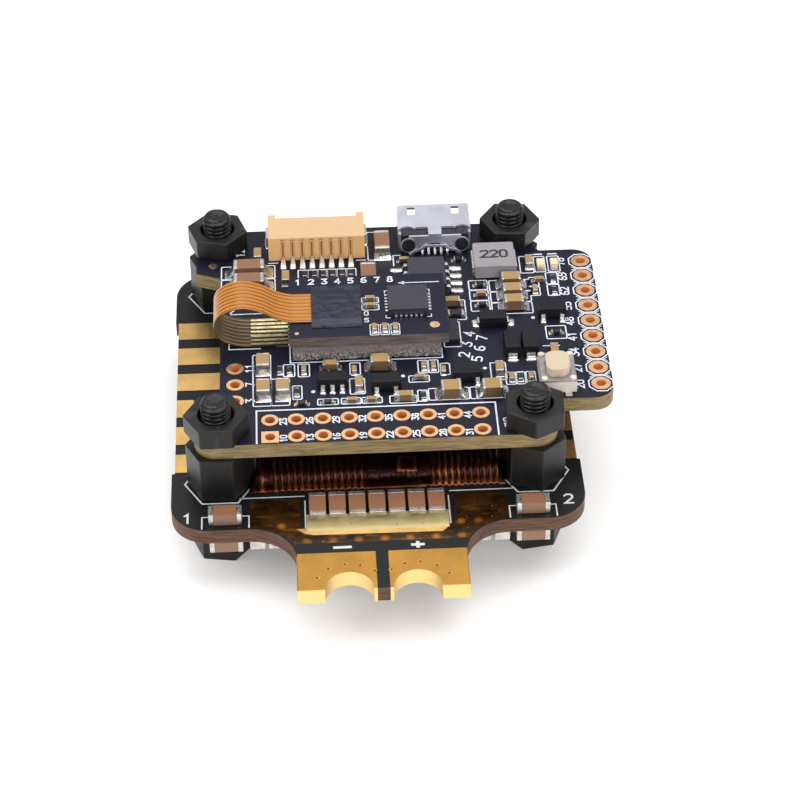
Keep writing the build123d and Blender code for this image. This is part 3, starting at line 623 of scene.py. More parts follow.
# motor board print: ink painted a dimmer grey than the flight board print, as painted shade from the flight
# board above
esc_ink_painted_shade = ink("motor_board_ink", (0.60, 0.62, 0.61))
mark_ink = ink("inductor_mark", (0.012, 0.011, 0.014))
foam_grey = foam_paint()
flex_orange = ribbon_paint("flex_orange", (0.52, 0.190, 0.016), (0.108, 0.030, 0.007), 0.575)
flex_brown = ribbon_paint("flex_underside", (0.080, 0.052, 0.026), (0.42, 0.26, 0.09), 0.575, 0.35)
film = film_paint()


# ---------------------------------------------------------------- lines and numerals
LINE = 0.15          # usual width of a printed line
INK = 0.012          # thickness of the ink
DISC_SIDES = 20
GLYPHS = {
    " ": [],
    "0": [(0, .15), (.15, 0), (.45, 0), (.6, .15), (.6, .85), (.45, 1), (.15, 1), (0, .85), (0, .15)],
    "1": [(.1, .8), (.32, 1), (.32, 0)],
    "2": [(0, .85), (.15, 1), (.45, 1), (.6, .85), (.6, .62), (0, 0), (.6, 0)],
    "3": [(0, 1), (.58, 1), (.28, .6), (.6, .42), (.6, .15), (.45, 0), (.12, 0), (0, .12)],
    "4": [(.45, 0), (.45, 1), (0, .3), (.62, .3)],
    "5": [(.6, 1), (.05, 1), (0, .55), (.42, .6), (.6, .42), (.6, .15), (.42, 0), (0, .03)],
    "6": [(.55, 1), (.2, .95), (0, .6), (0, .15), (.15, 0), (.45, 0), (.6, .15), (.6, .38), (.45, .53),
          (.03, .45)],
    "7": [(0, 1), (.6, 1), (.22, 0)],
    "8": [(.3, .53), (.05, .7), (.05, .88), (.18, 1), (.42, 1), (.55, .88), (.55, .7), (.3, .53),
          (0, .35), (0, .12), (.15, 0), (.45, 0), (.6, .12), (.6, .35), (.3, .53)],
    "9": [(.57, .55), (.15, .47), (0, .62), (0, .85), (.15, 1), (.45, 1), (.6, .85), (.6, .4), (.4, .05),
          (.05, 0)],
}


def edges_of(points, half, closed):
    """Left and right edge of a line of even width through flat points."""
    spots = [Vector(p) for p in points]
    count = len(spots)
    left, right = [], []
    for i, here in enumerate(spots):
        first, last = i == 0 and not closed, i == count - 1 and not closed
        ahead = (spots[(i + 1) % count] - here).normalized() if not last else None
        behind = (here - spots[i - 1]).normalized() if not first else None
        ahead = ahead if ahead is not None else behind
        behind = behind if behind is not None else ahead
        way = ahead + behind
        way = way.normalized() if way.length > 1e-6 else ahead
        side = Vector((-way.y, way.x))
        reach = half / max(side.dot(Vector((-behind.y, behind.x))), 0.4)
        tip = way * half * (last - first)
        left.append(here + side * reach + tip)
        right.append(here - side * reach + tip)
    return left, right


def stroke(shell, points, z, width=LINE, closed=False):
    """Printed line with a closed body standing on height z."""
    left, right = edges_of(points, width / 2, closed)
    rings = []
    for a, b in zip(left, right):
        rings.append([(a.x, a.y, z), (b.x, b.y, z), (b.x, b.y, z + INK), (a.x, a.y, z + INK)])
    shell.skin(rings, loop=closed)


def strokes(shell, lines, z, width):
    """Several open lines of one width."""
    for points in lines:
        stroke(shell, points, z, width)


def frame_box(shell, x0, y0, x1, y1, z, cut=0.12, width=LINE):
    """Closed printed rectangle with clipped corners."""
    points = [(x0 + cut, y0), (x1 - cut, y0), (x1, y0 + cut), (x1, y1 - cut),
              (x1 - cut, y1), (x0 + cut, y1), (x0, y1 - cut), (x0, y0 + cut)]
    stroke(shell, points, z, width, closed=True)


def numeral(shell, text, x, y, z, height, turn=0, width=LINE):
    """Generic digits from single strokes, centred on x, y."""
    step = 0.85 * height
    spin = Matrix.Rotation(math.radians(turn), 2)
    start = -(step * (len(text) - 1) + 0.6 * height) / 2
    for n, digit in enumerate(text):
        points = []
        for u, v in GLYPHS[digit]:
            flat = spin @ Vector((start + n * step + u * height, (v - 0.5) * height))
            points.append((x + flat.x, y + flat.y))
        if points:
            closed = points[0] == points[-1]
            stroke(shell, points[:-1] if closed else points, z, width, closed)


def plus(shell, x, y, half_x, half_y, arm, z):
    """Plus sign; arm is half the width of its bars."""
    outline = [(arm, arm), (arm, half_y), (-arm, half_y), (-arm, arm), (-half_x, arm), (-half_x, -arm),
               (-arm, -arm), (-arm, -half_y), (arm, -half_y), (arm, -arm), (half_x, -arm), (half_x, arm)]
    shell.prism([(x + u, y + v) for u, v in outline], z, z + INK)


def disc(shell, x, y, z, radius, thick=INK):
    """Flat round spot standing on height z."""
    shell.prism(circle(x, y, radius, DISC_SIDES), z, z + thick)


# ---------------------------------------------------------------- standoffs, nuts, threads
POST_AT = 15.25      # half the spacing of the mounting pattern
PITCH = 0.5          # thread
CREST, ROOT = 1.45, 1.12          # radius over and between the threads
STUD_TAPER = 0.3
ROWS_PER_PITCH, STUD_SIDES = 8, 40
HEX_STEPS = 48
NUT_BORE, SOCKET_R, SOCKET_DEPTH = CREST + 0.03, 1.25, 4.6


def stud_ring(x, y, z, top):
    """One level of a helical thread that tapers over the last stretch below its top."""
    ring = []
    limit = CREST - max(0.0, z - (top - STUD_TAPER))
    for i in range(STUD_SIDES):
        angle = 2 * math.pi * i / STUD_SIDES
        phase = (z / PITCH - angle / (2 * math.pi)) % 1
        ridge = min(1.0, 1.5 * (0.5 - 0.5 * math.cos(2 * math.pi * phase)))
        radius = min(ROOT + (CREST - ROOT) * ridge, limit)
        ring.append((x + radius * math.cos(angle), y + radius * math.sin(angle), z))
    return ring


def threaded_stud(shell, x, y, z0, z1):
    """Stud with a helical thread, tapered end and a small moulding dimple on top."""
    rows = round((z1 - z0) / PITCH * ROWS_PER_PITCH)
    rings = [stud_ring(x, y, z0 + (z1 - z0) * j / rows, z1) for j in range(rows + 1)]
    for share, drop in ((0.7, 0.0), (0.5, -0.10), (0.2, -0.12)):
        ring = []
        for px, py, pz in rings[rows]:
            lump = 0.06 * noise.noise(Vector((px, py, x)) * 1.4)
            ring.append((x + (px - x) * share, y + (py - y) * share, z1 + drop * 0.6 + lump - 0.03))
        rings.append(ring)
    shell.skin(rings)


def hex_turn(points, centre):
    """Angle of one corner of a hexagonal solid, from the frame."""
    far = max(points, key=lambda p: (Vector((p.x, p.y)) - centre).length)
    return math.atan2(far.y - centre.y, far.x - centre.x)


def hex_ring(centre, turn, corner, z):
    """Ring of points on a hexagon of the given corner radius."""
    flat = corner * math.cos(math.pi / 6)
    ring = []
    for i in range(HEX_STEPS):
        angle = 2 * math.pi * i / HEX_STEPS
        reach = flat / math.cos(angle % (math.pi / 3) - math.pi / 6)
        x = centre.x + reach * math.cos(turn + angle)
        y = centre.y + reach * math.sin(turn + angle)
        ring.append((x, y, z))
    return ring


def round_ring(centre, turn, radius, z):
    """Ring of as many points as hex_ring, starting at the same angle."""
    return level(circle(centre.x, centre.y, radius, HEX_STEPS, math.degrees(turn)), z)


def posts(node):
    """Plan centre, hexagon turn, corner radius and box of each post of a CAD node."""
    found = []
    for points in islands(node):
        lo, hi = box_of(points)
        centre = Vector([round(middle((lo, hi))[i] / POST_AT) * POST_AT for i in range(2)])
        turn = hex_turn(points, centre)
        corner = max((Vector((p.x, p.y)) - centre).length for p in points)
        found.append((centre, turn, corner, lo.z, hi.z))
    return found


def build_posts():
    """Nuts, male standoffs with their studs, and tapped standoffs, on the places of the CAD nodes."""
    nuts, upper, studs, lower = Shell(), Shell(), Shell(), Shell()
    for centre, turn, corner, z0, z1 in posts("top_nuts"):
        nuts.skin([
            round_ring(centre, turn, NUT_BORE, z0), hex_ring(centre, turn, corner, z0),
            hex_ring(centre, turn, corner, z1), round_ring(centre, turn, NUT_BORE + 0.26, z1),
            round_ring(centre, turn, NUT_BORE + 0.16, z1 - 0.7),
        ], loop=True)
    for centre, turn, corner, z0, z1 in posts("upper_standoffs"):
        upper.skin([hex_ring(centre, turn, corner, z) for z in (z0, FC_Z)])
        threaded_stud(studs, centre.x, centre.y, FC_Z - 0.2, z1)
    for centre, turn, corner, z0, _ in posts("lower_standoffs"):
        lower.skin([
            hex_ring(centre, turn, corner, ESC_Z), hex_ring(centre, turn, corner, z0),
            round_ring(centre, turn, SOCKET_R + 0.25, z0), round_ring(centre, turn, SOCKET_R, z0 + 0.25),
            round_ring(centre, turn, SOCKET_R, z0 + SOCKET_DEPTH),
        ])
    for shell, name, rounding, node in (
            (nuts, "hex_nuts", 0.14, "top_nuts"),
            (upper, "upper_standoff_bodies", 0.12, "upper_standoffs"),
            (lower, "lower_standoff_bodies", 0.12, "lower_standoffs")):
        shell.make(name, STACK, [nylon], rounding, 3, slot="black_nylon", stands_for=node)
    studs.make("threaded_studs", STACK, [stud_nylon], sharp=60, slot="black_nylon")


# ---------------------------------------------------------------- chips and solder
def meniscus(shell, foot, out, width, height, reach, base):
    """Concave solder fillet climbing a metal end, thinner towards its two corners."""
    across = Vector((-out.y, out.x))
    rings = []
    for i in range(9):
        u = -1 + i / 4
        edge = math.sqrt(max(0.0, 1 - (0.93 * u) ** 4))
        ring = []
        for j in range(7):
            v = j / 6
            spot = foot + out * (reach * v * (0.75 + 0.25 * edge)) + across * (u * width / 2)
            rise = height * (1 - v) ** 2.1 * (0.25 + 0.75 * edge) + 0.03
            ring.append((spot.x, spot.y, base + rise))
        ring.append((ring[-1][0], ring[-1][1], base))
        ring.append((ring[0][0], ring[0][1], base))
        rings.append(ring)
    shell.skin(rings)


def pair_ends(body_node, end_node):
    """Each chip body with its two metal ends and the direction of its length."""
    ends = solids(end_node)
    found = []
    for box in solids(body_node):
        here = middle(box)
        near = sorted(ends, key=lambda e: (middle(e) - here).length)[:2]
        along = middle(near[1]) - middle(near[0])
        axis = 0 if abs(along.x) > abs(along.y) else 1
        found.append((box, near, axis))
    return found


def chip_group(name, body_node, paint, slot, rounding, reach, body):
    """Rounded bodies, rounded metal ends and solder fillets for one kind of two-ended part."""
    cores, caps, joints = Shell(), Shell(), Shell()
    end_node = body_node[:-1] + "_ends"
    for box, ends, axis in pair_ends(body_node, end_node):
        grow = Vector((0.015, 0.015, 0))
        grow[axis] = 0.12
        cores.box(box[0] - grow, box[1] + grow)
        for end in ends:
            caps.box(*end)
            size = end[1] - end[0]
            out = Vector((0, 0))
            out[axis] = 1 if middle(end)[axis] > middle(box)[axis] else -1
            foot = middle(end).xy + out * (size[axis] / 2)
            run = reach * (1.5 if axis == 0 else 0.8)
            meniscus(joints, foot - out * 0.03, out, size[1 - axis] * 1.1, size.z * 0.62, run, end[0].z)
    cores.make(name + "_bodies", body, [paint], rounding * 0.5, slot=slot, stands_for=body_node)
    caps.make(name + "_ends", body, [tin], rounding, 3, slot="tin_ends", stands_for=end_node)
    joints.make(name + "_solder", body, [solder], sharp=60, slot="tin_ends")


def build_chips():
    """Capacitors and resistors of both upper boards."""
    for name, node, paint, slot, rounding, reach, body in (
            ("large_capacitor", "large_capacitors", tan_ceramic, "capacitor_ceramic", 0.14, 0.62, STACK),
            ("medium_capacitor", "medium_capacitors", gold_ceramic, "capacitor_ceramic", 0.12, 0.42, STACK),
            ("small_capacitor", "small_capacitors", gold_ceramic, "capacitor_ceramic", 0.06, 0.22, STACK),
            ("resistor_chip", "resistors", dark_ceramic, "resistor_ceramic", 0.035, 0.2, STACK),
            ("sensor_capacitor", "imu_capacitors", gold_ceramic, "capacitor_ceramic", 0.06, 0.2, SENSOR)):
        chip_group(name, node, paint, slot, rounding, reach, body)


def dress_nodes():
    """Paint, edge rounding and rounding steps of the CAD nodes that stay."""
    for paint, rounding, steps, nodes in (
            (fc_mask, 0, 2, "fc_board"),
            (esc_mask, 0, 2, "esc_board"),
            (imu_mask, 0, 2, "imu_board"),
            (copper, 0, 2, "header_pads side_pads left_pads"),
            (motor_gold, 0, 2, "motor_pads"),
            (battery_gold, 0, 2, "battery_negative_pad battery_positive_pad"),
            (epoxy, 0.05, 2, "regulators diodes main_processor gate_drivers motor_processors"),
            (epoxy, 0.05, 2, "power_transistors"),
            (sensor_epoxy, 0.05, 2, "flash_memory"),
            (sensor_epoxy, 0.04, 2, "imu_sensor"),
            (lead_tin, 0.03, 2, "regulator_leads diode_leads flash_memory_leads main_processor_leads"),
            (lead_tin, 0.03, 2, "gate_driver_leads imu_sensor_contacts plug_contacts plug_tabs"),
            (lead_tin, 0.03, 2, "button_feet inductor_terminals"),
            (lead_tin, 0, 2, "usb_contacts"),
            (steel, 0.05, 2, "clock_crystal"),
            (steel, 0, 2, "usb_shell"),
            (usb_plastic, 0, 2, "usb_insert"),
            (peach_nylon, 0.08, 2, "plug_housing"),
            (ferrite, 0.12, 3, "inductor_core"),
            (white_plastic, 0.05, 2, "button_base"),
            (frame_steel, 0.04, 2, "button_frame"),
            (cream_plastic, 0.15, 3, "button_plunger"),
            (lens_resin, 0.04, 2, "status_leds"),
            (tin, 0.03, 2, "status_led_ends"),
            (tan_ceramic, 0.04, 2, "motor_capacitors"),
            (tin, 0.1, 2, "motor_capacitor_ends")):
        for node in nodes.split():
            dress(node, paint, rounding, steps)


# ---------------------------------------------------------------- solder and small lands
def mound(shell, lo, hi, z, height):
    """Low rounded lump of solder over a rectangle."""
    cx, cy = (lo[0] + hi[0]) / 2, (lo[1] + hi[1]) / 2
    rings = []
    for share, rise in ((1.0, 0.0), (0.98, 0.45), (0.86, 0.8), (0.6, 0.97), (0.2, 1.0)):
        hx, hy = (hi[0] - lo[0]) / 2, (hi[1] - lo[1]) / 2
        slim = (1 - share) * min(hx, hy)
        hx, hy = max(hx - slim, 0.01), max(hy - slim, 0.01)
        ring = []
        for k in range(24):
            a = 2 * math.pi * (k + 0.5) / 24
            c, d = math.cos(a), math.sin(a)
            fit = (abs(c) ** 5 + abs(d) ** 5) ** -0.2
            ring.append((cx + hx * c * fit, cy + hy * d * fit, z + height * rise))
        rings.append(ring)
    shell.skin(rings)


def build_lead_solder():
    """Solder on the feet of the chips with leads, sized from the leads themselves."""
    joints = Shell()
    for node in ("regulator_leads", "diode_leads"):
        for lo, hi in solids(node):
            mound(joints, (lo.x - 0.12, lo.y - 0.22), (hi.x + 0.12, hi.y + 0.1), lo.z, 0.2)
    for lo, hi in solids("flash_memory_leads"):
        out = 1 if middle((lo, hi)).x > middle(solids("flash_memory")[0]).x else -1
        x0, x1 = (hi.x - 0.7, hi.x + 0.75) if out > 0 else (lo.x - 0.75, lo.x + 0.7)
        mound(joints, (x0, lo.y - 0.14), (x1, hi.y + 0.14), lo.z, 0.26)
    for lo, hi in solids("plug_tabs"):
        mound(joints, (lo.x - 0.15, lo.y - 0.15), (hi.x + 0.15, hi.y + 0.15), FC_TOP, 0.22)
    joints.make("lead_solder", STACK, [solder], sharp=60, slot="tin_leads")


def build_plug_details():
    """Narrow keyways over the contacts, filled with darker amber boxes of painted shade, and feet that
    widen towards the board.
    """
    fingers, keyway_shades, feet = Shell(), Shell(), Shell()
    lo, hi = lowest("plug_housing"), highest("plug_housing")
    for pin_lo, pin_hi in solids("plug_contacts"):
        x = (pin_lo.x + pin_hi.x) / 2
        fingers.box((x - 0.2, lo.y + 0.04, lo.z + 0.1), (x + 0.2, lo.y + 0.6, hi.z - 0.42))
        # painted shade: a darker amber box stands for the shade down each keyway
        keyway_shades.box((x - 0.1, lo.y + 0.02, lo.z + 0.05), (x + 0.1, lo.y + 0.5, hi.z - 0.55))
        rings = []
        for y, half, rise in ((lo.y + 0.04, 0.14, 0.55), (lo.y - 0.12, 0.17, 0.5), (lo.y - 0.4, 0.26, 0.4),
                              (lo.y - 0.9, 0.33, 0.28), (lo.y - 1.4, 0.36, 0.16), (lo.y - 1.55, 0.3, 0.05)):
            rings.append([(x - half, y, FC_TOP), (x + half, y, FC_TOP),
                          (x + half * 0.75, y, FC_TOP + rise), (x - half * 0.75, y, FC_TOP + rise)])
        feet.skin(rings)
    fingers.make("plug_fingers", STACK, [peach_nylon], 0.03, slot="plug_plastic")
    keyway_shades.make("plug_keyway_shade", STACK, [keyway_painted_shade], 0.03, slot="plug_plastic")
    feet.make("plug_feet", STACK, [tin], 0.04, slot="tin_leads")


DOME_GAUGE, BUTTON_TRAVEL = 0.05, 0.25


def build_dome():
    """Snap dome under the plunger."""
    lo, hi = lowest("button_dome"), highest("button_dome")
    centre, reach, rise = (lo + hi) / 2, (hi.x - lo.x) / 2, hi.z - lo.z
    outer, inner = [], []
    for share in (0.05, 0.3, 0.55, 0.8, 1.0):
        ring = circle(centre.x, centre.y, reach * share, 32)
        z = lo.z + DOME_GAUGE + (rise - DOME_GAUGE - 0.01) * (1 - share ** 2)
        outer.append(level(ring, z))
        inner.append(level(ring, z - DOME_GAUGE))
    dome = Shell()
    dome.skin(outer + inner[::-1])
    piece = dome.make("snap_dome", STACK, [frame_steel], slot="button_steel", stands_for="button_dome")
    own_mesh(piece)


def build_usb_details():
    """Bridge-shaped strap and rounded ears at the rear of the USB shell."""
    lo, hi = lowest("usb_shell"), highest("usb_shell")
    x0, y = (lo.x + hi.x) / 2, lo.y - 0.02
    strap, ears, rims = Shell(), Shell(), Shell()
    rise = [(-2.55, 0.08), (-2.1, 0.45), (-1.55, 0.62), (-1.0, 1.05)]
    path = rise + [(-x, z) for x, z in reversed(rise)]
    rings = []
    for a, b in zip(*edges_of(path, 0.16, False)):
        corners = [(a, y), (b, y), (b, y - 0.16), (a, y - 0.16)]
        rings.append([(x0 + p.x, depth, FC_TOP + p.y) for p, depth in corners])
    strap.skin(rings)
    for side in (-1, 1):
        for shell, radius, front in ((rims, 0.86, 0.05), (ears, 0.70, 0.10)):
            ring = circle(x0 + side * 2.75, FC_TOP + 1.15, radius, 24, tall=1.1)
            shell.skin([[(px, depth, pz) for px, pz in ring] for depth in (y, y - front)])
    strap.make("usb_rear_strap", STACK, [steel], 0.04, slot="usb_steel")
    rims.make("usb_ear_rims", STACK, [steel], 0.03, slot="usb_steel")
    ears.make("usb_ears", STACK, [usb_plastic], 0.03, slot="usb_plastic")


# ---------------------------------------------------------------- motor board face
def notch_arc(side, gap, y_end):
    """Points that follow the shoulder curve of the board at a small distance inside it."""
    centre = Vector((side * (TAB_X + NOTCH_R), SHOULDER_Y - NOTCH_R))
    reach = NOTCH_R + gap
    last = math.asin((y_end - centre.y) / reach)
    points = []
    for k in range(9):
        a = math.pi / 2 + (last - math.pi / 2) * k / 8
        points.append((centre.x - side * reach * math.cos(a), centre.y + reach * math.sin(a)))
    return points


def build_motor_planes():
    """Copper planes under the mask, and the bare gold strip in front of the capacitor row."""
    planes, gold = Shell(), Shell()
    outline = [(-PLANE_OUT, PLANE_BACK), (-PLANE_IN, PLANE_BACK), (-PLANE_IN, -21.9), (-6.9, STRIP_BACK),
               (6.9, STRIP_BACK), (PLANE_IN - 0.2, -21.9), (PLANE_IN - 0.2, PLANE_BACK),
               (PLANE_OUT, PLANE_BACK)]
    outline += notch_arc(1, 0.2, STRIP_FRONT)
    outline += list(reversed(notch_arc(-1, 0.2, STRIP_FRONT)))
    planes.prism(list(reversed(outline)), ESC_TOP, ESC_TOP + 0.01)
    planes.make("battery_planes", STACK, [under_mask_copper], slot="gold_copper")
    rear = STRIP_BACK + 0.1
    strip = [(-8.0, rear), (6.6, rear), (6.6, -22.75), (5.9, -23.45), (-6.3, -23.35), (-7.2, -23.1)]
    gold.prism(list(reversed(strip)), ESC_TOP + 0.008, ESC_TOP + 0.03)
    gold.make("capacitor_land", STACK, [bright_gold], slot="gold_copper")


FILLET_X0, FILLET_X1, FILLET_BACK, FILLET_FRONT = -7.0, 6.6, -21.55, -22.85
CAPACITOR_STEP = 1.9


def build_bank_solder():
    """One long fillet in front of the row of seven capacitors."""
    fillet = Shell()
    rings = []
    steps = 110
    for k in range(steps + 1):
        x = FILLET_X0 + (FILLET_X1 - FILLET_X0) * k / steps
        wave = noise.noise(Vector((x * 0.9, 3.1, 0.2)))
        dips = 0.5 + 0.5 * math.cos(2 * math.pi * (x + 5.9) / CAPACITOR_STEP)
        height = 1.0 + 0.06 * wave + 0.07 * dips
        front = FILLET_FRONT + 0.06 * wave
        ring = []
        for j in range(9):
            v = j / 8
            y = FILLET_BACK + (front - FILLET_BACK) * v
            rough = 0.015 * noise.noise(Vector((x * 1.6, y * 1.6, 1.7)))
            ring.append((x, y, ESC_TOP + 0.02 + (height + rough) * (1 - v) ** 1.35))
        ring += [(x, front, ESC_TOP), (x, FILLET_BACK, ESC_TOP)]
        rings.append(ring)
    fillet.skin(rings)
    fillet.make("bank_solder", STACK, [flux_solder], sharp=60, slot="tin_ends")


def build_tab_details():
    """Plated front edges of the battery tab and five small vias round each half hole, each with a dark disc
    of painted shadow for its hole.
    """
    plating, vias, cores = Shell(), Shell(), Shell()
    front, top = TAB_END - 0.03, ESC_TOP + 0.02
    for side in (-1, 1):
        for near, far in ((0.6, HOLE_X - HOLE_R), (HOLE_X + HOLE_R, TAB_X)):
            x0, x1 = sorted((side * near, side * far))
            plating.box((x0, front, ESC_Z), (x1, TAB_END + 0.01, top))
        x0, x1 = sorted((side * TAB_X, side * (TAB_X + 0.03)))
        plating.box((x0, front, ESC_Z), (x1, -26.2, top))
        for angle in (45, 71, 96, 124, 151):
            a = math.radians(angle)
            x = side * (HOLE_X - VIA_RING_R * math.cos(a))
            y = TAB_END + VIA_RING_R * math.sin(a)
            disc(vias, x, y, ESC_TOP, 0.27, 0.055)
            # painted shadow: a dark disc stands for the shade down each via hole
            disc(cores, x, y - 0.02, ESC_TOP + 0.03, 0.13, 0.03)
    plating.make("tab_edge_plating", STACK, [bright_gold], 0.01, slot="gold_copper")
    vias.make("tab_vias", STACK, [via_copper], slot="gold_copper")
    cores.make("tab_via_hole_shadows", STACK, [via_hole_shadow], slot="gold_copper")


def build_motor_print():
    """Frames round the capacitors and posts, two numerals and the polarity signs."""
    z = ESC_TOP
    silk = Shell()
    thin = 0.13
    strokes(silk, [[(x, -18.35), (x, -22.3)] for x in (-7.1, 6.75)], z, thin)
    strokes(silk, [[(x0, -17.65), (x1, -17.65)] for x0, x1 in ((-13.35, -7.17), (6.96, 12.97))], z, thin)
    for side in (-1, 1):
        for edge in (-1, 1):
            bar = side * 14.75 + edge * 2.25
            stroke(silk, [(bar - edge * 0.9, -20.2), (bar, -20.2), (bar, -21.85)], z, thin)
        for row in (-1, 1):
            stroke(silk, circle(side * POST_AT, row * POST_AT, 3.45, 6), z, 0.16, closed=True)
    numeral(silk, "1", -18.4, -20.3, z, 1.25, width=0.2)
    numeral(silk, "2", 18.3, -19.5, z, 1.25, width=0.2)
    stroke(silk, [(-4.4, -25.2), (-2.98, -25.2)], z, 0.34)
    plus(silk, 3.45, -25.2, 0.65, 0.46, 0.17, z)
    # ink painted dimmer grey as painted shade under the flight board
    silk.make("motor_board_print", STACK, [esc_ink_painted_shade])


# ---------------------------------------------------------------- insulating film
FILM_STEP = 0.07     # spacing of the mesh along x
FILM_FRONT, FILM_BACK, FILM_HALF, FOOT_HALF = -16.65, 16.4, 11.7, 12.4
FILM_RISE, FILM_BEND, FILM_SHEET = 1.75, 1.15, 0.07
RIDGE_HALF, BULGE_X, BULGE_HALF = 0.3, -11.2, 0.5
SQUARE = (1.95, -16.3, 3.85, -14.3)
LEFT_RIDGES = [-9.85 + 0.642 * n for n in range(14)]
RIGHT_RIDGES = [5.4 + 0.62 * n for n in range(11)]


def film_profile():
    """Path over the film from its front lip to its rear lip: y, z and outward direction."""
    path = []
    top = ESC_TOP + FILM_RISE
    foot = ESC_TOP + 0.04
    path.append((FILM_FRONT - 0.32, foot, 0, 1))
    path.append((FILM_FRONT - 0.12, foot + 0.01, 0, 1))
    for k in range(6):
        path.append((FILM_FRONT, foot + 0.05 + (FILM_RISE - FILM_BEND - 0.1) * k / 5, -1, 0))
    for k in range(1, 13):
        a = math.pi / 2 * k / 12
        path.append((FILM_FRONT + FILM_BEND * (1 - math.cos(a)), top - FILM_BEND * (1 - math.sin(a)),
                     -math.cos(a), math.sin(a)))
    for k in range(1, 21):
        path.append((FILM_FRONT + FILM_BEND + 0.25 * k, top, 0, 1))
    path.append((0, top, 0, 1))
    path.append((FILM_BACK - 0.4, top, 0, 1))
    path.append((FILM_BACK, top - 0.4, 1, 0))
    path.append((FILM_BACK, foot, 1, 0))
    return path


def ridge_at(x):
    """How much of a wire-like ridge stands at x, from 0 to 1."""
    best = 0.0
    for centre in LEFT_RIDGES + RIGHT_RIDGES:
        away = abs(x - centre)
        if away < RIDGE_HALF:
            best = max(best, 0.5 + 0.5 * math.cos(math.pi * away / RIDGE_HALF))
    bulge = abs(x - BULGE_X)
    if bulge < BULGE_HALF:
        best = max(best, 0.9 * (0.5 + 0.5 * math.cos(math.pi * bulge / BULGE_HALF)))
    return best


def square_rim(x, y):
    """1 on the border of the embossed square, a little inside it, 0 elsewhere."""
    x0, y0, x1, y1 = SQUARE
    depth = min(x - x0, x1 - x, y - y0, y1 - y)
    return 0.0 if depth < 0 else 1.0 if depth < 0.3 else 0.25


def film_swell(x, y, z, ridge):
    """How far the film stands out from its path: ridges near the front, the square, and wrinkles."""
    front = max(0.0, 1 - max(0.0, y - FILM_FRONT) / 5.5)
    height = 0.17 * ridge * front
    height += 0.09 * noise.noise(Vector((x * 0.8, y * 0.5, z * 0.9))) * front
    height += 0.03 * noise.noise(Vector((x * 2.6, y * 1.4, z * 2.1)))
    return height + 0.09 * square_rim(x, y)


def film_leads_and_highlights(x, y, z, ridge):
    """Share of copper tone on the film, partly leads showing through and partly painted highlights: strong
    on the ridges near the foot, weak on the roof.
    """
    low = max(0.0, 1 - (z - ESC_TOP) / FILM_RISE)
    roof = max(0.0, 1 - max(0.0, y - FILM_FRONT - 0.4) / 5.0)
    # painted highlight: a bright copper lip along the foot at the front
    lip = 1.0 if z < ESC_TOP + 0.08 and y < 0 else 0.0
    patch = 0.5 + 0.5 * noise.noise(Vector((x * 0.5, 4.0, z)))
    share = ridge * (0.22 + 0.5 * low ** 2) * roof * (0.55 + 0.8 * patch)
    # painted highlight: the ridges on the right are painted brighter
    if 5.6 < x < 8.0:
        share *= 1.7
    # painted highlight on the rim of the embossed square
    if z > ESC_TOP + 0.5:
        share += 0.32 * square_rim(x, y)
    return min(1.0, share + lip * (0.75 + 0.02 * x))


def build_film():
    """Insulating film that drops to the motor board on all sides; its copper tone, partly painted
    highlights, is an attribute.
    """
    shell = Shell()
    path = film_profile()
    count = round(2 * FOOT_HALF / FILM_STEP)
    rings, glow = [], []
    for i in range(count + 1):
        x = -FOOT_HALF + 2 * FOOT_HALF * i / count
        ridge = ridge_at(x)
        drop = max(0.0, abs(x) - FILM_HALF) / (FOOT_HALF - FILM_HALF)
        outer, inner = [], []
        for y, z, ny, nz in path:
            swell = film_swell(x, y, z, ridge)
            lift = 1 - 0.92 * drop ** 1.5
            pz = ESC_TOP + 0.02 + (z + nz * swell - ESC_TOP - 0.02) * lift
            outer.append((x, y + ny * swell, pz))
            under = max(ESC_TOP + 0.005, pz - (FILM_SHEET if nz else 0))
            inner.append((x, y + ny * (swell - FILM_SHEET), under))
            glow.append(film_leads_and_highlights(x, y, z, ridge))
        glow.extend([0.0] * len(path))
        rings.append(outer + list(reversed(inner)))
    shell.skin(rings)
    piece = shell.make("insulating_film_sheet", STACK, [film], sharp=60, slot="amber_film",
                       stands_for="insulating_film")
    # the ridge attribute holds the copper tone of the film, partly painted highlights
    tone = piece.data.attributes.new("ridge", "FLOAT", "POINT")
    tone.data.foreach_set("value", glow)


# ---------------------------------------------------------------- sensor board: foam, cable, tape
FOAM_STEP, FOAM_KEEP = 0.16, 0.75
TAPE_SHEET, TAPE_DRAPE = 0.03, 0.24


def build_foam():
    """Foam block with a ragged, open-celled skin."""
    lo, hi = lowest("imu_foam"), highest("imu_foam")
    shell = Shell()
    nx, ny, nz = [max(2, round((hi[i] - lo[i]) / FOAM_STEP)) for i in range(3)]
    loop = [(i / nx, 0) for i in range(nx)] + [(1, j / ny) for j in range(ny)]
    loop += [(1 - i / nx, 1) for i in range(nx)] + [(0, 1 - j / ny) for j in range(ny)]
    rings = []
    for k in range(nz + 1):
        z = lo.z + (hi.z - lo.z) * k / nz
        ring = []
        for u, v in loop:
            x, y = lo.x + (hi.x - lo.x) * u, lo.y + (hi.y - lo.y) * v
            out = Vector(((u == 1) - (u == 0), (v == 1) - (v == 0)))
            cell = noise.noise(Vector((x, y, z)) * 2.6) + 0.7 * noise.noise(Vector((x, y, z)) * 6.1)
            push = 0.13 * cell - 0.02
            ring.append((x + out.x * push, y + out.y * push, z))
        rings.append(ring)
    shell.skin(rings)
    piece = shell.make("foam_pad", STACK, [foam_grey], sharp=80, slot="foam", stands_for="imu_foam")
    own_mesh(piece)


